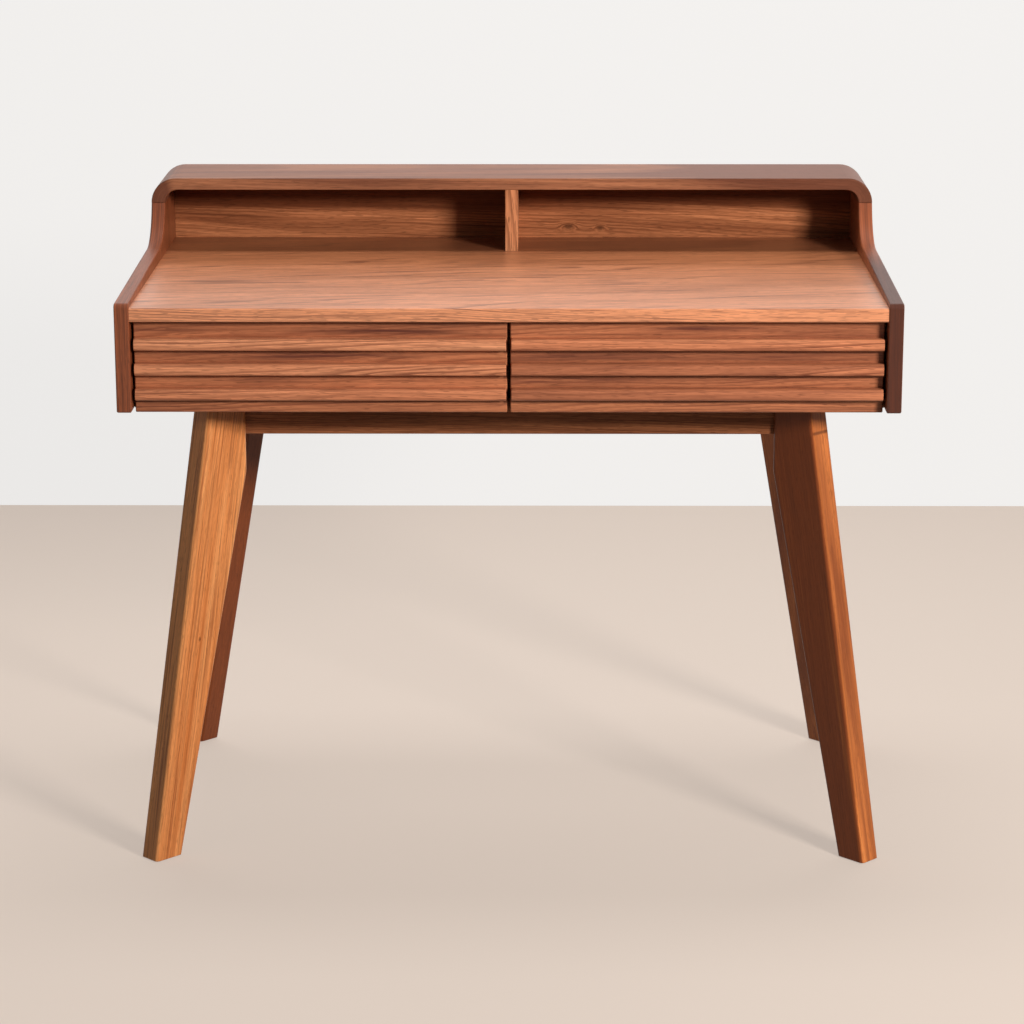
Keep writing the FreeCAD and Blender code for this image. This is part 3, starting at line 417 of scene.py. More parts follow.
@dataclass(frozen=True)
class BentEnds(Fitting):
    """A board along X whose two ends bend down, with its fibres following the bends."""

    half_length: float
    top: float
    radius: float

    def place(self, tree: Tree, at: Socket) -> Socket:
        """Run X round the bends, and measure depth down from the outer face.

        Args:
            tree: the material's tree.
            at: the point of the board, in metres.

        Returns:
            The point of the unbent board.
        """
        axes = add(tree, SPLIT, (at,)).outputs
        aside = add(tree, MATH, (axes[0],), operation="ABSOLUTE")
        side = add(tree, MATH, (axes[0],), operation="SIGN")
        bend_at = self.half_length - self.radius
        past = add(tree, MATH, (aside, bend_at), operation="SUBTRACT")
        past = add(tree, MATH, (past, 0.0), operation="MAXIMUM")
        over = add(tree, MATH, (axes[2], self.top - self.radius), operation="SUBTRACT")
        over = add(tree, MATH, (over, 0.01 * MM), operation="MAXIMUM")
        swing = add(tree, MATH, (past, over), operation="ARCTAN2")
        straight = add(tree, MATH, (aside, bend_at), operation="MINIMUM")
        run = add(tree, MATH, (swing, self.radius, straight), operation="MULTIPLY_ADD")
        run = add(tree, MATH, (run, side), operation="MULTIPLY")
        spoke = add(tree, JOIN, (past, over))
        length = add(tree, VECTORS, (spoke,), operation="LENGTH").outputs[1]
        depth = add(tree, MATH, (length, self.radius), operation="SUBTRACT")
        return add(tree, JOIN, (run, axes[1], depth)).outputs[0]


class Toned(Fitting):
    """A board, fitted in its own way, whose tone shifts by an extra over some share of it."""

    extra: float
    board: Fitting

    def share(self, tree: Tree) -> Node:
        """Give the share of the extra that a point gets, from 0 to 1."""
        raise NotImplementedError

    def place(self, tree: Tree, at: Socket) -> Socket:
        """Fit the pattern as the board's own fitting does."""
        return self.board.place(tree, at)

    def shade(self, tree: Tree, shade: float) -> Node:
        """Add the share of the extra to the board's own tone."""
        own = self.board.shade(tree, shade)
        return add(tree, MATH, (self.share(tree), self.extra, own), operation="MULTIPLY_ADD")


@dataclass(frozen=True)
class Banded(Toned):
    """A board whose edges carry a band of another tone.

    Follow says that the band's fibres run round the rim of an upright panel.
    """

    face_axis: int
    extra: float
    follow: bool = False
    board: Fitting = Fitting()

    def share(self, tree: Tree) -> Node:
        """Tell the edges from the faces.

        Args:
            tree: the material's tree.

        Returns:
            A node that gives 1 on the edges and 0 on the faces.
        """
        facing = add(tree, SPLIT, (add(tree, "ShaderNodeTexCoord").outputs["Normal"],))
        broad = add(tree, MATH, (facing.outputs[self.face_axis],), operation="ABSOLUTE")
        return add(tree, RANGE, (broad, 0.75, 0.6))

    def place(self, tree: Tree, at: Socket) -> Socket:
        """On the rim, run the fibres round it and lay their width through the panel.

        Args:
            tree: the material's tree.
            at: the point of the board, in metres.

        Returns:
            The point of the pattern.
        """
        if not self.follow:
            return super().place(tree, at)
        axes = add(tree, SPLIT, (at,)).outputs
        run = add(tree, MATH, (axes[2], axes[1]), operation="SUBTRACT")
        band = add(tree, JOIN, (0.0, axes[0], run))
        return add(tree, "ShaderNodeMix", {0: self.share(tree), 4: at, 5: band},
                   data_type="VECTOR").outputs[1]


@dataclass(frozen=True)
class Graded(Toned):
    """A board whose tone shifts by an extra along an axis, between two places in metres.

    It paints shade under the gallery's cap and on the cap itself, and also sets plain tone steps of
    staves and panels.
    """

    axis: int
    start: float
    end: float
    extra: float
    board: Fitting = Fitting()

    def share(self, tree: Tree) -> Node:
        """Give 0 before the first place, rising to 1 at the second."""
        at = add(tree, SPLIT, (add(tree, "ShaderNodeTexCoord").outputs["Object"],))
        return add(tree, RANGE, (at.outputs[self.axis], self.start, self.end),
                   interpolation_type="SMOOTHSTEP")


@dataclass(frozen=True)
class Facing(Toned):
    """A board whose tone shifts by an extra on the side that looks a given way."""

    way: Point
    extra: float
    board: Fitting = Fitting()

    def share(self, tree: Tree) -> Node:
        """Give 1 where the face looks that way, and 0 where it looks elsewhere.

        Args:
            tree: the material's tree.

        Returns:
            The node with that share.
        """
        normal = add(tree, "ShaderNodeTexCoord").outputs["Normal"]
        facing = add(tree, VECTORS, (normal, self.way), operation="DOT_PRODUCT")
        return add(tree, RANGE, (facing.outputs[1], 0.6, 0.9))


@dataclass(frozen=True)
class Timber:
    """A timber and its finish. Sizes are in millimetres, colours in sRGB.

    Growth rings stand 2 to 9 mm apart, as in the real timbers. Pores are a few tenths of a
    millimetre wide and fibres finer still, so both are drawn 1 mm wide to show at all.
    """

    name: str
    pale: str
    middle: str
    deep: str
    line: str
    pore: str
    ring: float = 4.0
    waver: float = 12.0
    reach: float = 420.0
    tone_spread: float = 1.6
    line_share: float = 0.6
    streak_share: float = 0.5
    pore_share: float = 0.5
    pore_length: float = 14.0
    pore_width: float = 1.0
    roughness: float = 0.45
    specular: float = 0.3
    coat: float = 0.2
    coat_roughness: float = 0.32
    relief: float = 0.05
    edge: float = 1.2

    def material(self, board: str, cut: Cut, fitting: Fitting = Fitting()) -> Material:
        """Make the finish of one board.

        Args:
            board: name of the board, for the material's name.
            cut: how the board was cut.
            fitting: how the pattern is fitted to the board.

        Returns:
            The board's own material.
        """
        material = bpy.data.materials.new(f"{self.name} {board}")
        tree = blank(material)
        at = fitting.place(tree, add(tree, "ShaderNodeTexCoord").outputs["Object"])
        turned = add(tree, "ShaderNodeMapping", {
            "Vector": at, "Location": cut.place, "Rotation": cut.lay.turn(),
            "Scale": (1 / MM,) * 3})
        values = {"Place": turned, "Pith": (0.0, *cut.pith),
                  "Shade": fitting.shade(tree, cut.shade)}
        for names, marks in ((TimberPattern.KNOTS, cut.knots),
                             (TimberPattern.STREAKS, cut.streaks)):
            values |= dict(zip(names, marks + ((0.0, 0.0, 0.0),) * len(names)))
        for names, owner in ((TimberPattern.OF_CUT, cut), (TimberPattern.OF_TIMBER, self)):
            values |= {name: getattr(owner, name.lower().replace(" ", "_")) for name in names}
        values |= {name: linear(getattr(self, name.lower())) for name in TimberPattern.COLOURS}
        pattern = add(tree, "ShaderNodeGroup", values,
                      node_tree=bpy.data.node_groups[TimberPattern.NAME])
        rough = add(tree, MATH, (
            pattern.outputs["Polish"], 0.12, self.roughness), operation="MULTIPLY_ADD")
        eased = add(tree, "ShaderNodeBevel", {"Radius": self.edge * MM}, samples=4)
        bump = add(tree, "ShaderNodeBump", {
            "Height": pattern.outputs["Height"], "Strength": 0.35, "Distance": self.relief * MM,
            "Normal": eased})
        shader = add(tree, "ShaderNodeBsdfPrincipled", {
            "Base Color": pattern.outputs["Colour"], "Roughness": rough, "Normal": bump,
            "Specular IOR Level": self.specular, "Coat Weight": self.coat,
            "Coat Roughness": self.coat_roughness})
        add(tree, "ShaderNodeOutputMaterial", {"Surface": shader})
        return material

    def dress(self, node: str, cut: Cut, fitting: Fitting = Fitting()) -> None:
        """Give a carried-over board its own cut of this timber.

        Args:
            node: name of the board's CAD node.
            cut: how the board was cut.
            fitting: how the pattern is fitted to the board.
        """
        material = self.material(node.replace("_", " "), cut, fitting)
        for slot in NODES[node].material_slots:
            slot.material = material
        log.info("%s wears %s", node, material.name)


# Walnut, sanded, under a satin lacquer: warm reddish brown with darker growth lines, short open
# pores and a soft sheen that turns pale where the light grazes it.
WALNUT = Timber("satin lacquered walnut", pale="#E09C72", middle="#BE7850", deep="#774229",
                line="#5A2F1D", pore="#3B2015", ring=3.0, waver=8.0, line_share=0.75,
                pore_share=0.55, specular=0.1, coat=0.0, tone_spread=1.4)

# The same walnut on the drawer fronts, with more figure and mauve heartwood in it.
FIGURED_WALNUT = Timber("figured walnut", pale="#EBA076", middle="#CF825C", deep="#74402F",
                        line="#6A3626", pore="#45231A", ring=2.6, waver=7.0, reach=300.0,
                        line_share=0.8, streak_share=0.45, specular=0.2, coat=0.08,
                        tone_spread=1.0)

# Boards of the drawer fronts behind the slats: the figured walnut's mauver wood, darker partly as
# its own tone and partly as painted shade of the recesses between the slats.
FRONT_WALNUT = replace(FIGURED_WALNUT, name="dark figured walnut", pale="#D38F66", middle="#BA7450",
                       deep="#5A3026", streak_share=0.4)

# Side panels of darker walnut, banded round their edges with darker strips still.
PANEL_WALNUT = replace(WALNUT, name="dark walnut", pale="#A45B3A", middle="#7A4026", deep="#4C2415",
                       line="#3A1A10", specular=0.3, coat=0.35, coat_roughness=0.36)

# Desktop and cap: the same walnut, a shade browner, under a fuller lacquer that mirrors softly.
TOP_WALNUT = replace(WALNUT, name="polished walnut", pale="#E4976C", middle="#BD7850",
                     deep="#7C4830", specular=0.4, coat=0.8, coat_roughness=0.36, tone_spread=1.2)

# The cap's walnut is duller and smoother, with fewer lines.
CAP_WALNUT = replace(TOP_WALNUT, name="dull walnut", pale="#D29A76", middle="#B67A58",
                     deep="#6E4230", specular=0.25, coat=0.16, line_share=0.45, pore_share=0.4)

# Solid leg hardwood, oiled: orange-brown where lit, with fine pores in short dashes.
LEG_WOOD = Timber("oiled leg hardwood", pale="#E79A5E", middle="#C8743C", deep="#80401F",
                  line="#6E3417", pore="#3E1A0B", ring=7.0, waver=9.0, reach=700.0,
                  line_share=0.45, streak_share=0.55, pore_share=0.3, pore_length=9.0,
                  roughness=0.42, specular=0.15, coat=0.2, coat_roughness=0.3)

# Pale hardwood of the drawer boxes, planed and thinly sealed.
DRAWER_WOOD = Timber("sealed drawer hardwood", pale="#DDC29C", middle="#CDAC82", deep="#AE8B5E",
                     line="#A17C51", pore="#775633", ring=4.5, waver=7.0, line_share=0.35,
                     streak_share=0.2, pore_share=0.3, roughness=0.58, coat=0.0)

# Plywood of the drawer floors: a rotary-cut face veneer, so wide pale waves with few lines.
PLYWOOD = Timber("birch plywood", pale="#E6CFAB", middle="#D9BC92", deep="#C3A175", line="#B08A5C",
                 pore="#8C6A42", ring=9.0, waver=26.0, reach=500.0, line_share=0.3,
                 streak_share=0.12, pore_share=0.15, roughness=0.6, coat=0.0)

# Beech of the dowels: even, pinkish and fine.
BEECH = Timber("turned beech", pale="#E0BE98", middle="#D3AC84", deep="#BC9168", line="#AA7F57",
               pore="#8A6241", ring=3.0, waver=3.0, line_share=0.25, streak_share=0.1,
               pore_share=0.4, pore_length=3.0, roughness=0.6, coat=0.0)


@dataclass(frozen=True)
class Solid:
    """A finish with a fine even texture, such as metal or moulded plastic. The patch is in mm."""

    name: str
    colour: str
    stain: str
    patch: float
    metallic: float
    roughness: float
    relief: float

    def material(self) -> Material:
        """Build the finish.

        Returns:
            The new material.
        """
        material = bpy.data.materials.new(self.name)
        tree = blank(material)
        at = add(tree, "ShaderNodeTexCoord").outputs["Object"]
        cloud = add(tree, NOISE, {
            "Vector": at, "Scale": 1 / (self.patch * MM), "Detail": 4.0, "Roughness": 0.6})
        grit = add(tree, NOISE, {"Vector": at, "Scale": 8 / (self.patch * MM), "Detail": 2.0})
        share = add(tree, RANGE, (cloud, 0.4, 0.7))
        colour = add(tree, "ShaderNodeMix", {
            0: share, 6: linear(self.colour), 7: linear(self.stain)}, data_type="RGBA")
        rough = add(tree, RANGE, (cloud, 0.3, 0.7, self.roughness - 0.07, self.roughness + 0.09))
        bump = add(tree, "ShaderNodeBump", {
            "Height": grit, "Strength": 0.3, "Distance": self.relief * MM})
        shader = add(tree, "ShaderNodeBsdfPrincipled", {
            "Base Color": colour.outputs[2], "Roughness": rough, "Normal": bump,
            "Metallic": self.metallic})
        add(tree, "ShaderNodeOutputMaterial", {"Surface": shader})
        return material


# Zinc plated steel: a cool grey metal with a faint cloudy bloom from the plating bath.
ZINC = Solid("zinc plated steel", colour="#BFC1C2", stain="#A3A39B", patch=3.0, metallic=1.0,
             roughness=0.34, relief=0.01)

# Moulded nylon glide: dull dark brown, slightly scuffed.
NYLON = Solid("moulded nylon", colour="#3A322C", stain="#4A4038", patch=2.0, metallic=0.0,
              roughness=0.55, relief=0.02)


class Shape:
    """A Geometry Nodes tree that makes one small part and sets a copy of it on every spot.

    A spot is a vertex, and its heading attribute says where the part's own Z axis points.
    """

    NAME = ""
    SIZES: tuple[str, ...] = ()

    def __init__(self) -> None:
        """Build the tree with its named sizes, ending in one dressed mesh."""
        self.tree = tree = bpy.data.node_groups.new(self.NAME, "GeometryNodeTree")
        rows = (("Spots", "Geometry"), *((name, "Float") for name in self.SIZES),
                ("Finish", "Material"))
        for name, kind in rows:
            tree.interface.new_socket(name, in_out="INPUT", socket_type="NodeSocket" + kind)
        tree.interface.new_socket("Parts", in_out="OUTPUT", socket_type="NodeSocketGeometry")
        self.given = add(tree, "NodeGroupInput").outputs
        heading = add(tree, "GeometryNodeInputNamedAttribute", {"Name": "heading"},
                      data_type="FLOAT_VECTOR")
        turn = add(tree, "FunctionNodeAlignRotationToVector", {"Vector": heading}, axis="Z")
        copies = add(tree, "GeometryNodeInstanceOnPoints", {
            "Points": self.given["Spots"], "Instance": self.part(), "Rotation": turn})
        whole = add(tree, "GeometryNodeRealizeInstances", {"Geometry": copies})
        dressed = add(tree, "GeometryNodeSetMaterial", {
            "Geometry": whole, "Material": self.given["Finish"]})
        add(tree, "NodeGroupOutput", {"Parts": dressed})

    def part(self) -> Node:
        """Make one part, standing on the origin along Z."""
        raise NotImplementedError

    def lift(self, shape: Node, height: Given) -> Node:
        """Move a shape up its axis."""
        up = add(self.tree, JOIN, {2: height})
        return add(self.tree, "GeometryNodeTransform", {"Geometry": shape, "Translation": up})

    def rod(self, radius: Given, foot: Given, length: Given, sides: int = 16) -> Node:
        """A plain rod on the axis.

        Args:
            radius: its radius, over its corners.
            foot: height of its lower end.
            length: its length.
            sides: how many sides stand for the round.

        Returns:
            The rod, closed at both ends.
        """
        middle = add(self.tree, MATH, (length, 0.5, foot), operation="MULTIPLY_ADD")
        rod = add(self.tree, "GeometryNodeMeshCylinder", {
            "Vertices": sides, "Radius": radius, "Depth": length})
        return self.lift(rod, middle)

    def thread(self, core: Given, crest: Given, pitch: Given, foot: Given,
               length: Given) -> Node:
        """A screw thread: a sharp ridge wound round a core.

        Args:
            core: radius at the bottom of the thread.
            crest: radius over the thread.
            pitch: height of one turn.
            foot: height at which it starts.
            length: height of the whole thread.

        Returns:
            The ridge, closed at both ends.
        """
        tree = self.tree
        tall = add(tree, MATH, (crest, core), operation="SUBTRACT")
        tall = add(tree, MATH, (tall, 0.8), operation="MULTIPLY")
        path_radius = add(tree, MATH, (crest, tall), operation="SUBTRACT")
        turns = add(tree, MATH, (length, pitch), operation="DIVIDE")
        path = add(tree, "GeometryNodeCurveSpiral", {
            "Resolution": 10, "Rotations": turns, "Start Radius": path_radius,
            "End Radius": path_radius, "Height": length})
        path = add(tree, "GeometryNodeSetCurveNormal", {"Curve": path}, mode="Z_UP")
        ridge = add(tree, "GeometryNodeCurvePrimitiveCircle", {"Resolution": 3, "Radius": tall})
        ridge = add(tree, "GeometryNodeTransform", {
            "Geometry": ridge, "Rotation": (0.0, 0.0, math.pi)})
        wound = add(tree, "GeometryNodeCurveToMesh", {
            "Curve": path, "Profile Curve": ridge, "Fill Caps": True})
        return self.lift(wound, foot)


class WoodScrew(Shape):
    """Countersunk wood screw with a cross recess, a threaded stem and a point."""

    NAME = "wood_screw"
    SIZES = ("Length", "Core", "Crest", "Pitch", "Point", "Head radius", "Head depth",
             "Recess span", "Recess width", "Recess depth")

    def part(self) -> Node:
        """Make the screw with its head's face at the origin.

        Returns:
            The screw, with its stem along Z.
        """
        tree, given = self.tree, self.given
        stem = add(tree, MATH, (given["Length"], given["Point"]), operation="SUBTRACT")
        stem = add(tree, MATH, (stem, given["Head depth"]), operation="SUBTRACT")
        top = add(tree, MATH, (stem, given["Head depth"]), operation="ADD")
        point = add(tree, "GeometryNodeMeshCone", {
            "Vertices": 16, "Radius Top": 0.0, "Radius Bottom": given["Core"],
            "Depth": given["Point"]})
        head = add(tree, "GeometryNodeMeshCone", {
            "Vertices": 32, "Radius Top": given["Core"], "Radius Bottom": given["Head radius"],
            "Depth": given["Head depth"]})
        deep = add(tree, MATH, (given["Recess depth"], 2.0), operation="MULTIPLY")
        slots = [add(tree, "GeometryNodeMeshCube", {"Size": add(tree, JOIN, (wide, tall, deep))})
            for wide, tall in ((given["Recess span"], given["Recess width"]),
                               (given["Recess width"], given["Recess span"]))]
        head = add(tree, "GeometryNodeMeshBoolean", {"Mesh 1": head, "Mesh 2": slots},
                   operation="DIFFERENCE", solver="EXACT")
        return add(tree, "GeometryNodeJoinGeometry", {"Geometry": [
            head, self.rod(given["Core"], given["Head depth"], stem), self.lift(point, top),
            self.thread(given["Core"], given["Crest"], given["Pitch"], given["Head depth"], stem)]})


class Stud(Shape):
    """Threaded rod that ties a leg to its corner block."""

    NAME = "threaded_stud"
    SIZES = ("Length", "Core", "Crest", "Pitch", "Chamfer")

    def part(self) -> Node:
        """Make the stud with its inner end at the origin.

        Returns:
            The stud, with its thread along Z.
        """
        tree, given = self.tree, self.given
        plain = add(tree, MATH, (given["Length"], given["Chamfer"]), operation="SUBTRACT")
        wound = add(tree, MATH, (plain, given["Pitch"]), operation="SUBTRACT")
        narrow = add(tree, MATH, (given["Core"], 0.8), operation="MULTIPLY")
        tip = add(tree, "GeometryNodeMeshCone", {
            "Vertices": 16, "Radius Top": narrow, "Radius Bottom": given["Core"],
            "Depth": given["Chamfer"]})
        return add(tree, "GeometryNodeJoinGeometry", {"Geometry": [
            self.rod(given["Core"], 0.0, plain), self.lift(tip, plain),
            self.thread(given["Core"], given["Crest"], given["Pitch"], given["Pitch"], wound)]})


class Nut(Shape):
    """Hexagon nut with rounded corners and a bore."""

    NAME = "hexagon_nut"
    SIZES = ("Radius", "Thickness", "Bore")

    def part(self) -> Node:
        """Make the nut with its lower face at the origin.

        Returns:
            The nut, with its bore along Z.
        """
        tree, given = self.tree, self.given
        block = self.rod(given["Radius"], 0.0, given["Thickness"], 6)
        corner = add(tree, "GeometryNodeMeshUVSphere", {"Segments": 48, "Rings": 24, "Radius": 1.0})
        wide = add(tree, MATH, (given["Radius"], 1.03), operation="MULTIPLY")
        tall = add(tree, MATH, (given["Thickness"], 1.35), operation="MULTIPLY")
        corner = add(tree, "GeometryNodeTransform", {
            "Geometry": corner,
            "Scale": add(tree, JOIN, (wide, wide, tall))})
        half = add(tree, MATH, (given["Thickness"], 0.5), operation="MULTIPLY")
        rounded = add(tree, "GeometryNodeMeshBoolean", {
            "Mesh 2": [block, self.lift(corner, half)]}, operation="INTERSECT", solver="EXACT")
        through = add(tree, MATH, (given["Thickness"], 1.4), operation="MULTIPLY")
        start = add(tree, MATH, (given["Thickness"], -0.2), operation="MULTIPLY")
        bore = self.rod(given["Bore"], start, through, 24)
        return add(tree, "GeometryNodeMeshBoolean", {"Mesh 1": rounded, "Mesh 2": bore},
                   operation="DIFFERENCE", solver="EXACT")


class Washer(Shape):
    """Flat washer with rounded edges."""

    NAME = "flat_washer"
    SIZES = ("Radius", "Bore", "Thickness", "Edge")

    def part(self) -> Node:
        """Make the washer with its lower face at the origin.

        Returns:
            The washer, with its bore along Z.
        """
        tree, given = self.tree, self.given
        middle = add(tree, MATH, (given["Radius"], given["Bore"]), operation="ADD")
        middle = add(tree, MATH, (middle, 0.5), operation="MULTIPLY")
        wide = add(tree, MATH, (given["Radius"], given["Bore"]), operation="SUBTRACT")
        ring = add(tree, "GeometryNodeCurvePrimitiveCircle", {"Resolution": 40, "Radius": middle})
        ring = add(tree, "GeometryNodeSetCurveNormal", {"Curve": ring}, mode="Z_UP")
        side = add(tree, "GeometryNodeCurvePrimitiveQuadrilateral", {
            "Width": wide, "Height": given["Thickness"]})
        side = add(tree, "GeometryNodeFilletCurve", {
            "Curve": side, "Count": 2, "Radius": given["Edge"], "Limit Radius": True}, mode="POLY")
        flat = add(tree, "GeometryNodeCurveToMesh", {"Curve": ring, "Profile Curve": side})
        half = add(tree, MATH, (given["Thickness"], 0.5), operation="MULTIPLY")
        return self.lift(flat, half)


class Glide(Shape):
    """Round nail-on glide: a chamfered disc with a sunk seat for its nail."""

    NAME = "foot_glide"
    SIZES = ("Radius", "Thickness", "Chamfer", "Seat depth")

    def part(self) -> Node:
        """Make the glide with the side that meets the floor at the far end of its axis.

        Returns:
            The glide, with its seat up its axis.
        """
        tree, given = self.tree, self.given
        body = add(tree, MATH, (given["Thickness"], given["Chamfer"]), operation="SUBTRACT")
        half = add(tree, MATH, (body, 0.5), operation="MULTIPLY")
        disc = add(tree, "GeometryNodeMeshCylinder", {
            "Vertices": 40, "Radius": given["Radius"], "Depth": body})
        shape, top = disc.outputs["Mesh"], disc.outputs["Top"]
        sunk = add(tree, MATH, (given["Seat depth"], -1.0), operation="MULTIPLY")
        for rise, share in ((given["Chamfer"], 0.94), (0.0, 0.4), (sunk, 0.85)):
            step = add(tree, "GeometryNodeExtrudeMesh", {
                "Mesh": shape, "Selection": top, "Offset Scale": rise}, mode="FACES")
            top = step.outputs["Top"]
            shape = add(tree, "GeometryNodeScaleElements", {
                "Geometry": step, "Selection": top, "Scale": share}, domain="FACE")
        return self.lift(shape, half)


@dataclass
class Hardware:
    """Screws, studs with their nuts and washers, glides and dowels. Sizes are in millimetres."""

    screw: dict[str, float] = field(default_factory=lambda: {
        "Core": 1.35, "Crest": 2.0, "Pitch": 1.8, "Point": 4.0, "Head radius": 4.0,
        "Head depth": 2.4, "Recess span": 4.4, "Recess width": 0.9, "Recess depth": 1.5})
    case_screw: float = 35.0
    drawer_screw: float = 20.0
    runner_screw: float = 16.0
    stud: dict[str, float] = field(default_factory=lambda: {
        "Length": 98.94, "Core": 3.35, "Crest": 4.0, "Pitch": 1.25, "Chamfer": 1.0})
    stud_start: float = 312.59
    washer_middle: float = 320.57
    nut_middle: float = 317.71
    diagonal: float = 216.5
    stud_levels: tuple[float, float] = (569.0, 599.0)
    apron_screws: tuple[tuple[float, ...], float] = ((272.73, 90.91), 137.14)
    rail_screws: tuple[float, float] = (353.64, 58.85)
    partition_screws: float = 84.0
    back_screws: tuple[tuple[float, ...], float] = ((408.85, 168.35), 619.0)
    back_middle: float = 677.75
    runner_level: float = 667.0
    runner_places: tuple[float, ...] = (-188.46, 6.0, 200.46)
    runner_faces: tuple[tuple[float, int], ...] = ((471.0, 1), (19.0, -1))
    corner_faces: tuple[tuple[float, int], ...] = ((476.5, -1), (13.5, 1))
    corner_places: tuple[float, float] = (-240.0, 181.0)
    corner_levels: tuple[float, float] = (639.7, 694.3)
    front_screws: tuple[float, float] = (106.1, 383.9)
    front_levels: tuple[float, float] = (643.6, 690.4)
    front_start: float = -234.0
    tab_screws: tuple[float, float] = (245.0, 197.0)
    tab_levels: tuple[float, float] = (685.2, 699.0)
    foot_place: tuple[float, float] = (463.62, 247.12)
    smooth_under: float = math.radians(32)
    nut: dict[str, float] = field(default_factory=lambda: {
        "Radius": 7.5, "Thickness": 6.5, "Bore": 3.9})
    washer: dict[str, float] = field(default_factory=lambda: {
        "Radius": 9.0, "Bore": 4.3, "Thickness": 1.6, "Edge": 0.3})
    glide: dict[str, float] = field(default_factory=lambda: {
        "Radius": 10.0, "Thickness": 1.5, "Chamfer": 0.4, "Seat depth": 0.5})

    def fit(self, shape: Shape, name: str, spots: list[Spot], sizes: dict[str, float],
            finish: Material, node: str, body: str) -> None:
        """Make all the parts of one kind on one body, in place of their CAD node.

        Args:
            shape: the tree that makes the part.
            name: the piece's name.
            spots: where each part stands and where its axis points, in millimetres.
            sizes: the tree's sizes, in millimetres.
            finish: what they are made of.
            node: the CAD node that they stand for.
            body: the body that they ride on.
        """
        mesh = bpy.data.meshes.new(name)
        mesh.from_pydata([Vector(place) * MM for place, _ in spots], [], [])
        heading = mesh.attributes.new("heading", "FLOAT_VECTOR", "POINT")
        heading.data.foreach_set("vector", [part for _, way in spots for part in way])
        piece = stand(name, mesh)
        modifier = piece.modifiers.new("shape", "NODES")
        modifier.node_group = shape.tree
        for item in shape.tree.interface.items_tree:
            if item.name in sizes:
                modifier[item.identifier] = sizes[item.name] * MM
            elif item.name == "Finish":
                modifier[item.identifier] = finish
        ready = piece.evaluated_get(bpy.context.evaluated_depsgraph_get())
        result = bpy.data.meshes.new_from_object(ready)
        piece.modifiers.clear()
        piece.data = result
        bpy.data.meshes.remove(mesh)
        result.name = name
        result.shade_smooth()
        result.set_sharp_from_angle(angle=self.smooth_under)
        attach(piece, body)
        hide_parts(node)
        log.info("%s: %d of them, %d faces", name, len(spots), len(result.polygons))

    def case_screws(self) -> list[Spot]:
        """Down into the base frame, up into the partition, and in through the case back.

        Returns:
            Where each of the case's screws starts and points.
        """
        low, high = (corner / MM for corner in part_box("case_bottom"))
        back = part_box("case_back")[1].y / MM
        far, near = self.apron_screws[0]
        out, aside = self.rail_screws
        spots = [((x, y, high.z), (0, 0, -1)) for x in (-far, -near, near, far)
                 for y in (-self.apron_screws[1], self.apron_screws[1])]
        spots += [((x, y, high.z), (0, 0, -1)) for x in (-out, out) for y in (-aside, aside)]
        spots += [((0, side * self.partition_screws, low.z), (0, 0, 1)) for side in (-1, 1)]
        (far, near), level = self.back_screws
        spots += [((x, back, level), (0, -1, 0)) for x in (-far, -near, near, far)]
        return spots + [((0, back, self.back_middle), (0, -1, 0))]

    def runner_screws(self) -> list[Spot]:
        """Out through the outer runners, and in through the inner ones."""
        return [((side * x, y, self.runner_level), (side * way, 0, 0)) for side in (-1, 1)
                for x, way in self.runner_faces for y in self.runner_places]

    def drawer_screws(self, side: int) -> list[Spot]:
        """The screws of one drawer: box corners, slatted front and stop tab.

        Args:
            side: -1 for the left drawer, 1 for the right one.

        Returns:
            Where each screw starts and points.
        """
        spots = [((side * x, y, z), (side * way, 0, 0)) for x, way in self.corner_faces
                 for y in self.corner_places for z in self.corner_levels]
        spots += [((side * x, self.front_start, z), (0, -1, 0)) for x in self.front_screws
                  for z in self.front_levels]
        x, y = self.tab_screws
        return spots + [((side * x, y, z), (0, -1, 0)) for z in self.tab_levels]

    def leg_spots(self, start: float) -> list[Spot]:
        """Both stud lines of each leg, towards the corner of the base.

        Args:
            start: distance out along X at which they start.

        Returns:
            Where each line starts and points.
        """
        return [((side * start, rear * (start - self.diagonal), z), (side * SLANT, rear * SLANT, 0))
                for side in (-1, 1) for rear in (-1, 1) for z in self.stud_levels]

    def build(self) -> None:
        """Make and fit the hardware."""
        zinc, screw = ZINC.material(), WoodScrew()
        screws = [("case", "desk", self.case_screws(), self.case_screw),
                  ("runner", "desk", self.runner_screws(), self.runner_screw)]
        screws += [(f"{hand}_drawer", f"{hand}_drawer", self.drawer_screws(side),
                    self.drawer_screw) for hand, side in (("left", -1), ("right", 1))]
        for place, body, spots, length in screws:
            self.fit(screw, f"{place}_wood_screws", spots, {**self.screw, "Length": length}, zinc,
                     f"{place}_screws", body)
        for shape, name, node, middle, sizes in (
                (Stud(), "leg_studs", "leg_bolts", self.stud_start, self.stud),
                (Washer(), "leg_stud_washers", "leg_bolt_washers", self.washer_middle, self.washer),
                (Nut(), "leg_stud_nuts", "leg_bolt_nuts", self.nut_middle, self.nut)):
            spots = self.leg_spots(middle - sizes.get("Thickness", 0.0) / 2 * SLANT)
            self.fit(shape, name, spots, sizes, zinc, node, "desk")
        out, deep = self.foot_place
        feet = [((x, y, self.glide["Thickness"]), (0, 0, -1)) for x in (-out, out)
                for y in (-deep, deep)]
        self.fit(Glide(), "nail_on_glides", feet, self.glide, NYLON.material(), "foot_glides",
                 "desk")
        BEECH.dress("wood_dowels", Cut(seed=90.0))


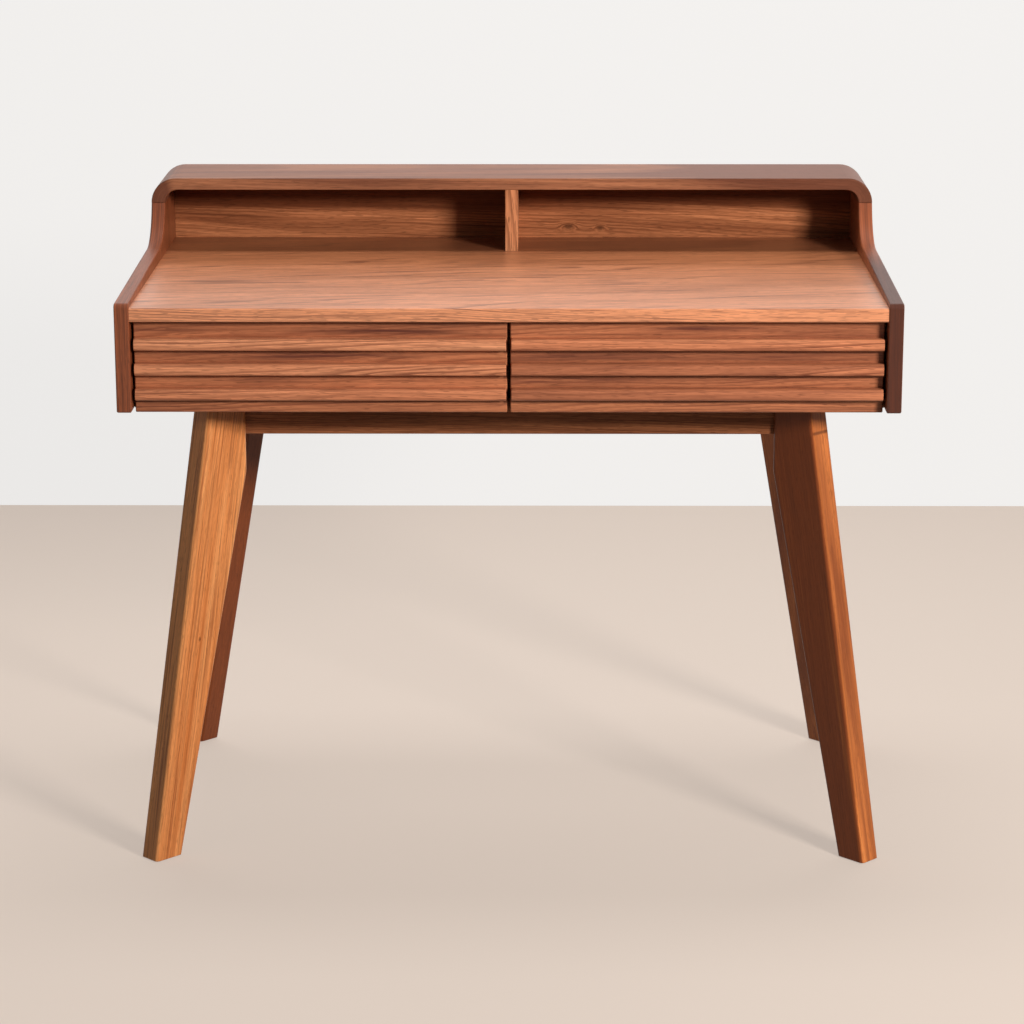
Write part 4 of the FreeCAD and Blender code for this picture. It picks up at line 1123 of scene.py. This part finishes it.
@dataclass
class Case:
    """The case and its gallery: side panels, desktop, cap, divider, backs and hidden boards."""

    cap_radius: float = 0.034
    stave: float = 103.0
    stave_start: float = 23.0
    hidden: tuple[tuple[str, Grain, float], ...] = (
        ("case_bottom", Grain.FLAT, 41.0), ("case_back", Grain.STANDING, 42.0),
        ("front_stretcher", Grain.FLAT, 43.0), ("centre_partition", Grain.DEEP_STANDING, 44.0))
    hidden_tone: float = 0.1

    def build(self) -> None:
        """Dress every board of the case."""
        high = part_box("gallery_cap")[1]
        # Painted shade: the cap's board is darkened round its left bend, towards its right end and
        # on its top face.
        cap = Graded(0, -0.466, -0.488, 0.5, BentEnds(high.x, high.z, self.cap_radius))
        cap = Graded(2, high.z - 0.0012, high.z - 0.0002, 0.2, Graded(0, 0.1, 0.4, 0.35, cap))
        CAP_WALNUT.dress("gallery_cap", Cut(
            seed=3.1, pith=(60.0, -95.0), place=(0.0, -200.0, 0.0), shade=0.24), cap)
        # Painted shade: the desktop is darkened under the gallery's cap, where the cap shades it.
        # It is pale on its first stave and edge.
        top = Graded(1, 0.135, 0.15, 0.4, Graded(1, -0.174, -0.181, -0.27, Banded(2, -0.5)))
        TOP_WALNUT.dress("desktop", Cut(
            place=(0.0, self.stave_start, 0.0), seed=7.0, pith=(120.0, -70.0), stave=self.stave,
            stave_spread=60.0, shade=-0.05), top)
        for hand, seed, band, upper in (("left", 11.0, 0.0, 0.0), ("right", 14.2, 0.75, -1.0)):
            PANEL_WALNUT.dress(f"{hand}_side_panel", Cut(
                Grain.UPRIGHT.value, seed=seed, pith=(-40.0, -110.0)),
                Graded(1, -0.1, 0.12, upper, Banded(0, band, follow=True)))
        # Painted shadow of the cap: the gallery back is darkened towards its top.
        WALNUT.dress("gallery_back", Cut(
            Grain.STANDING.value, place=(0.0, -790.0, 0.0), seed=21.0, pith=(-150.0, -70.0),
            shade=0.03, knots=((125.0, -28.0, 4.5), (80.0, -26.0, 6.5))),
            Graded(2, 0.776, 0.818, 0.75))
        WALNUT.dress("gallery_divider", Cut(
            Grain.UPRIGHT.value, seed=31.0, pith=(0.0, 60.0), shade=-0.25))
        for node, lay, seed in self.hidden:
            WALNUT.dress(node, Cut(lay.value, seed=seed, shade=self.hidden_tone))


@dataclass
class Drawers:
    """Both drawers, with their slatted fronts, boxes and runners."""

    level: float = 670.0
    first_slat: float = 635.4
    slat_step: float = 32.4
    slat_slopes: tuple[float, ...] = (0.03, -0.02, 0.02)
    slat_tones: dict[str, tuple[float, ...]] = field(default_factory=lambda: {
        "left": (-0.1, -0.25, -0.2), "right": (0.15, 0.0, -0.1)})
    parts: tuple[tuple[str, Grain, Timber], ...] = (
        ("back", Grain.STANDING, DRAWER_WOOD), ("box_front", Grain.STANDING, DRAWER_WOOD),
        ("inner_side", Grain.DEEP_STANDING, DRAWER_WOOD),
        ("outer_side", Grain.DEEP_STANDING, DRAWER_WOOD), ("floor", Grain.FLAT, PLYWOOD),
        ("stop_tab", Grain.STANDING, DRAWER_WOOD),
        ("inner_runner", Grain.DEEP_STANDING, DRAWER_WOOD),
        ("outer_runner", Grain.DEEP_STANDING, DRAWER_WOOD))

    def build(self) -> None:
        """Dress every board of the drawers."""
        standing = Grain.STANDING.value
        # The front boards' tones also carry painted shade of the recesses between the slats.
        for hand, seed, shade, streaks in (
                ("left", 51.0, 0.08, ((-445.0, 48.0, 60.0), (-150.0, 46.0, 110.0),
                                     (-250.0, 14.0, 150.0), (-290.0, -18.0, 80.0))),
                ("right", 58.0, 0.26, ((245.0, 48.0, 80.0), (80.0, 14.0, 95.0),
                                      (80.0, -18.0, 95.0), (330.0, 12.0, 70.0)))):
            FRONT_WALNUT.dress(f"{hand}_drawer_front", Cut(
                standing, place=(0.0, -self.level, 0.0), seed=seed, pith=(170.0, -60.0),
                taper=0.02, shade=shade, streaks=streaks))
            for step, level in enumerate(("bottom", "middle", "top")):
                FIGURED_WALNUT.dress(f"{hand}_drawer_{level}_slat", Cut(
                    standing, place=(0.0, -self.first_slat - self.slat_step * step, 0.0),
                    seed=seed + step + 1, pith=(130.0 + 30 * step, -60.0), taper=0.02,
                    slope=self.slat_slopes[step], shade=self.slat_tones[hand][step]))
            for step, (part, lay, timber) in enumerate(self.parts):
                timber.dress(f"{hand}_drawer_{part}", Cut(lay.value, seed=seed + 10 + step))


@dataclass
class Base:
    """The legs and the frame that holds them. Sizes are in millimetres."""

    splay: float = 111.4
    head: float = 613.0
    # Painted light: tone shift that makes each leg's outward narrow face paler.
    outward_painted_light: float = -0.55
    frame_tone: float = 0.1

    def leg_lay(self, side: int, rear: int) -> Lay:
        """Lay the fibres along a splayed leg.

        Args:
            side: -1 for a left leg, 1 for a right one.
            rear: -1 for a front leg, 1 for a rear one.

        Returns:
            How that leg's plank lies.
        """
        inward = Vector((-side, -rear, 0)).normalized()
        along = (inward * self.splay + Vector((0, 0, 1)) * self.head).normalized()
        through = inward.cross(Vector((0, 0, 1)))
        return Lay(tuple(along), tuple(through.cross(along)))

    def build(self) -> None:
        """Dress legs, aprons, rails and corner blocks."""
        for corner, side, rear, seed, shade, knots in (
                ("front_left", -1, -1, 61.0, -0.25, ((209.0, 487.0, 2.6),)),
                ("front_right", 1, -1, 62.0, 0.7, ((483.0, 516.0, 1.9),)),
                ("rear_left", -1, 1, 63.0, 1.0, ()), ("rear_right", 1, 1, 64.0, 0.25, ())):
            # Each leg's outward narrow face gets painted light through Facing.
            LEG_WOOD.dress(f"{corner}_leg", Cut(
                self.leg_lay(side, rear), seed=seed, pith=(30.0, -70.0), taper=0.015, shade=shade,
                knots=knots), Facing((side * SLANT, rear * SLANT, 0.0), self.outward_painted_light))
            DRAWER_WOOD.dress(f"{corner}_corner_block", Cut(Grain.UPRIGHT.value, seed=seed + 20))
        for node, lay, seed in (("front_apron", Grain.STANDING, 71.0),
                                ("rear_apron", Grain.STANDING, 72.0),
                                ("left_side_rail", Grain.DEEP_STANDING, 73.0),
                                ("right_side_rail", Grain.DEEP_STANDING, 74.0)):
            WALNUT.dress(node, Cut(lay.value, seed=seed, shade=self.frame_tone))


@dataclass
class Room:
    """Plain pale floor and wall, in metres, with each one's glow and bounce."""

    wall_at: float = 1.62
    reach: float = 9.0
    floor: tuple[str, float, float] = ("#DFD0C4", 0.66, 0.18)
    wall: tuple[str, float, float] = ("#F4F2F0", 0.9, 0.5)

    def plane(self, name: str, corners: tuple[Point, ...], material: Material) -> None:
        """Set up one flat face of the room.

        Args:
            name: its name.
            corners: its four corners, in metres.
            material: its paint.
        """
        mesh = bpy.data.meshes.new(name)
        mesh.from_pydata(corners, [], [(0, 1, 2, 3)])
        mesh.materials.append(material)
        stand(name, mesh)

    def paint(self, name: str, colour: str, glow: float, bounce: float) -> Material:
        """Matt paint that looks pale, and throws less light back on the desk than it shows.

        Args:
            name: the paint's name.
            colour: what the camera sees, in sRGB.
            glow: share of that colour that no shadow takes away.
            bounce: grey that the desk's matt faces get light from.

        Returns:
            The material, clear when seen from behind.
        """
        material = bpy.data.materials.new(name)
        tree = blank(material)
        lit = add(tree, "ShaderNodeBsdfDiffuse", {"Color": linear(colour)})
        shine = add(tree, "ShaderNodeEmission", {"Color": linear(colour), "Strength": 1.0})
        shown = add(tree, "ShaderNodeMixShader", (glow, lit, shine))
        dull = add(tree, "ShaderNodeBsdfDiffuse", {"Color": (bounce, bounce, bounce, 1.0)})
        front = add(tree, "ShaderNodeMixShader", (seen(tree), dull, shown))
        behind = add(tree, "ShaderNodeNewGeometry").outputs["Backfacing"]
        add(tree, "ShaderNodeOutputMaterial", {"Surface": add(tree, "ShaderNodeMixShader", (
            behind, front, add(tree, "ShaderNodeBsdfTransparent")))})
        return material

    def build(self) -> None:
        """Lay the floor and stand the wall."""
        far, wall = self.reach, self.wall_at
        self.plane("floor", ((-far, -far, 0), (far, -far, 0), (far, wall, 0), (-far, wall, 0)),
                   self.paint("pale floor", *self.floor))
        self.plane("wall", ((-far, wall, 0), (far, wall, 0), (far, wall, far), (-far, wall, far)),
                   self.paint("white wall", *self.wall))


@dataclass(frozen=True)
class Lamp:
    """A soft lamp: where it hangs and points, its size in metres and its power in watts."""

    name: str
    place: Point
    target: Point
    width: float
    height: float
    power: float
    colour: str = "#FFFFFF"
    mirrored: bool = False

    def build(self) -> None:
        """Hang the lamp, out of the camera's sight."""
        light = bpy.data.lights.new(self.name, "AREA")
        light.shape, light.size, light.size_y = "RECTANGLE", self.width, self.height
        light.energy, light.color = self.power, linear(self.colour)[:3]
        lamp = stand(self.name, light)
        aim = Vector(self.target) - Vector(self.place)
        lamp.location = self.place
        lamp.rotation_euler = aim.to_track_quat("-Z", "Y").to_euler()
        lamp.visible_camera = False
        lamp.visible_glossy = self.mirrored


@dataclass(frozen=True)
class Studio:
    """Lamps, air and camera."""

    lamps: tuple[Lamp, ...] = (
        Lamp("key_softbox", (2.3, -2.95, 1.87), (0.0, -0.1, 0.66), 0.74, 0.6, 165.0, "#FFFAF3"),
        Lamp("front_panel", (1.6, -3.0, 2.0), (0.0, -0.1, 0.62), 1.1, 1.1, 5.0, "#FFFFFF", True),
        Lamp("ceiling_panel", (0.0, 0.42, 2.9), (0.0, 0.3, 0.0), 1.6, 0.8, 36.0),
        Lamp("left_panel", (-2.6, -2.3, 1.1), (0.0, -0.1, 0.5), 1.2, 1.2, 4.5),
        Lamp("wall_panel", (0.0, 1.55, 1.9), (0.0, 0.0, 0.9), 3.6, 1.2, 32.0),
    )
    ambient: float = 0.004
    backdrop: str = "#F4F2F0"
    eye: Point = (0.0404, -4.2101, 1.5097)
    lens: float = 111.2
    sensor: float = 36.0
    pitch: float = math.radians(14.634)
    yaw: float = math.radians(-0.529)
    roll: float = math.radians(0.069)

    def air(self) -> None:
        """Give faint light from all round, and a pale backdrop where the view passes the room."""
        world = bpy.data.worlds.new("studio_air")
        tree = blank(world)
        dim = add(tree, "ShaderNodeBackground", {
            "Color": linear("#FFFFFF"), "Strength": self.ambient})
        pale = add(tree, "ShaderNodeBackground", {"Color": linear(self.backdrop), "Strength": 1.0})
        add(tree, "ShaderNodeOutputWorld", {
            "Surface": add(tree, "ShaderNodeMixShader", (seen(tree), dim, pale))})
        bpy.context.scene.world = world

    def camera(self) -> None:
        """Stand the camera where the photograph was taken from."""
        ahead = Vector((math.sin(self.yaw) * math.cos(self.pitch),
                        math.cos(self.yaw) * math.cos(self.pitch), -math.sin(self.pitch)))
        level = Vector((math.cos(self.yaw), -math.sin(self.yaw), 0.0))
        down = ahead.cross(level)
        right = level * math.cos(self.roll) + down * math.sin(self.roll)
        down = down * math.cos(self.roll) - level * math.sin(self.roll)
        lens = bpy.data.cameras.new("camera")
        lens.lens, lens.sensor_width = self.lens, self.sensor
        eye = stand("camera", lens)
        turn = Matrix((right, -down, -ahead)).transposed().to_4x4()
        eye.matrix_world = Matrix.Translation(self.eye) @ turn
        bpy.context.scene.camera = eye

    def build(self) -> None:
        """Light the desk and set the view."""
        for lamp in self.lamps:
            lamp.build()
        self.air()
        self.camera()
        bpy.context.scene.view_settings.view_transform = "Standard"


def main() -> None:
    """Dress the desk and set up the room."""
    TimberPattern()
    for part in (Case(), Drawers(), Base(), Hardware(), Room(), Studio()):
        part.build()
        log.info("built %s", type(part).__name__)


if __name__ == "__main__":
    logging.basicConfig(level=logging.INFO, format="%(message)s")
    main()
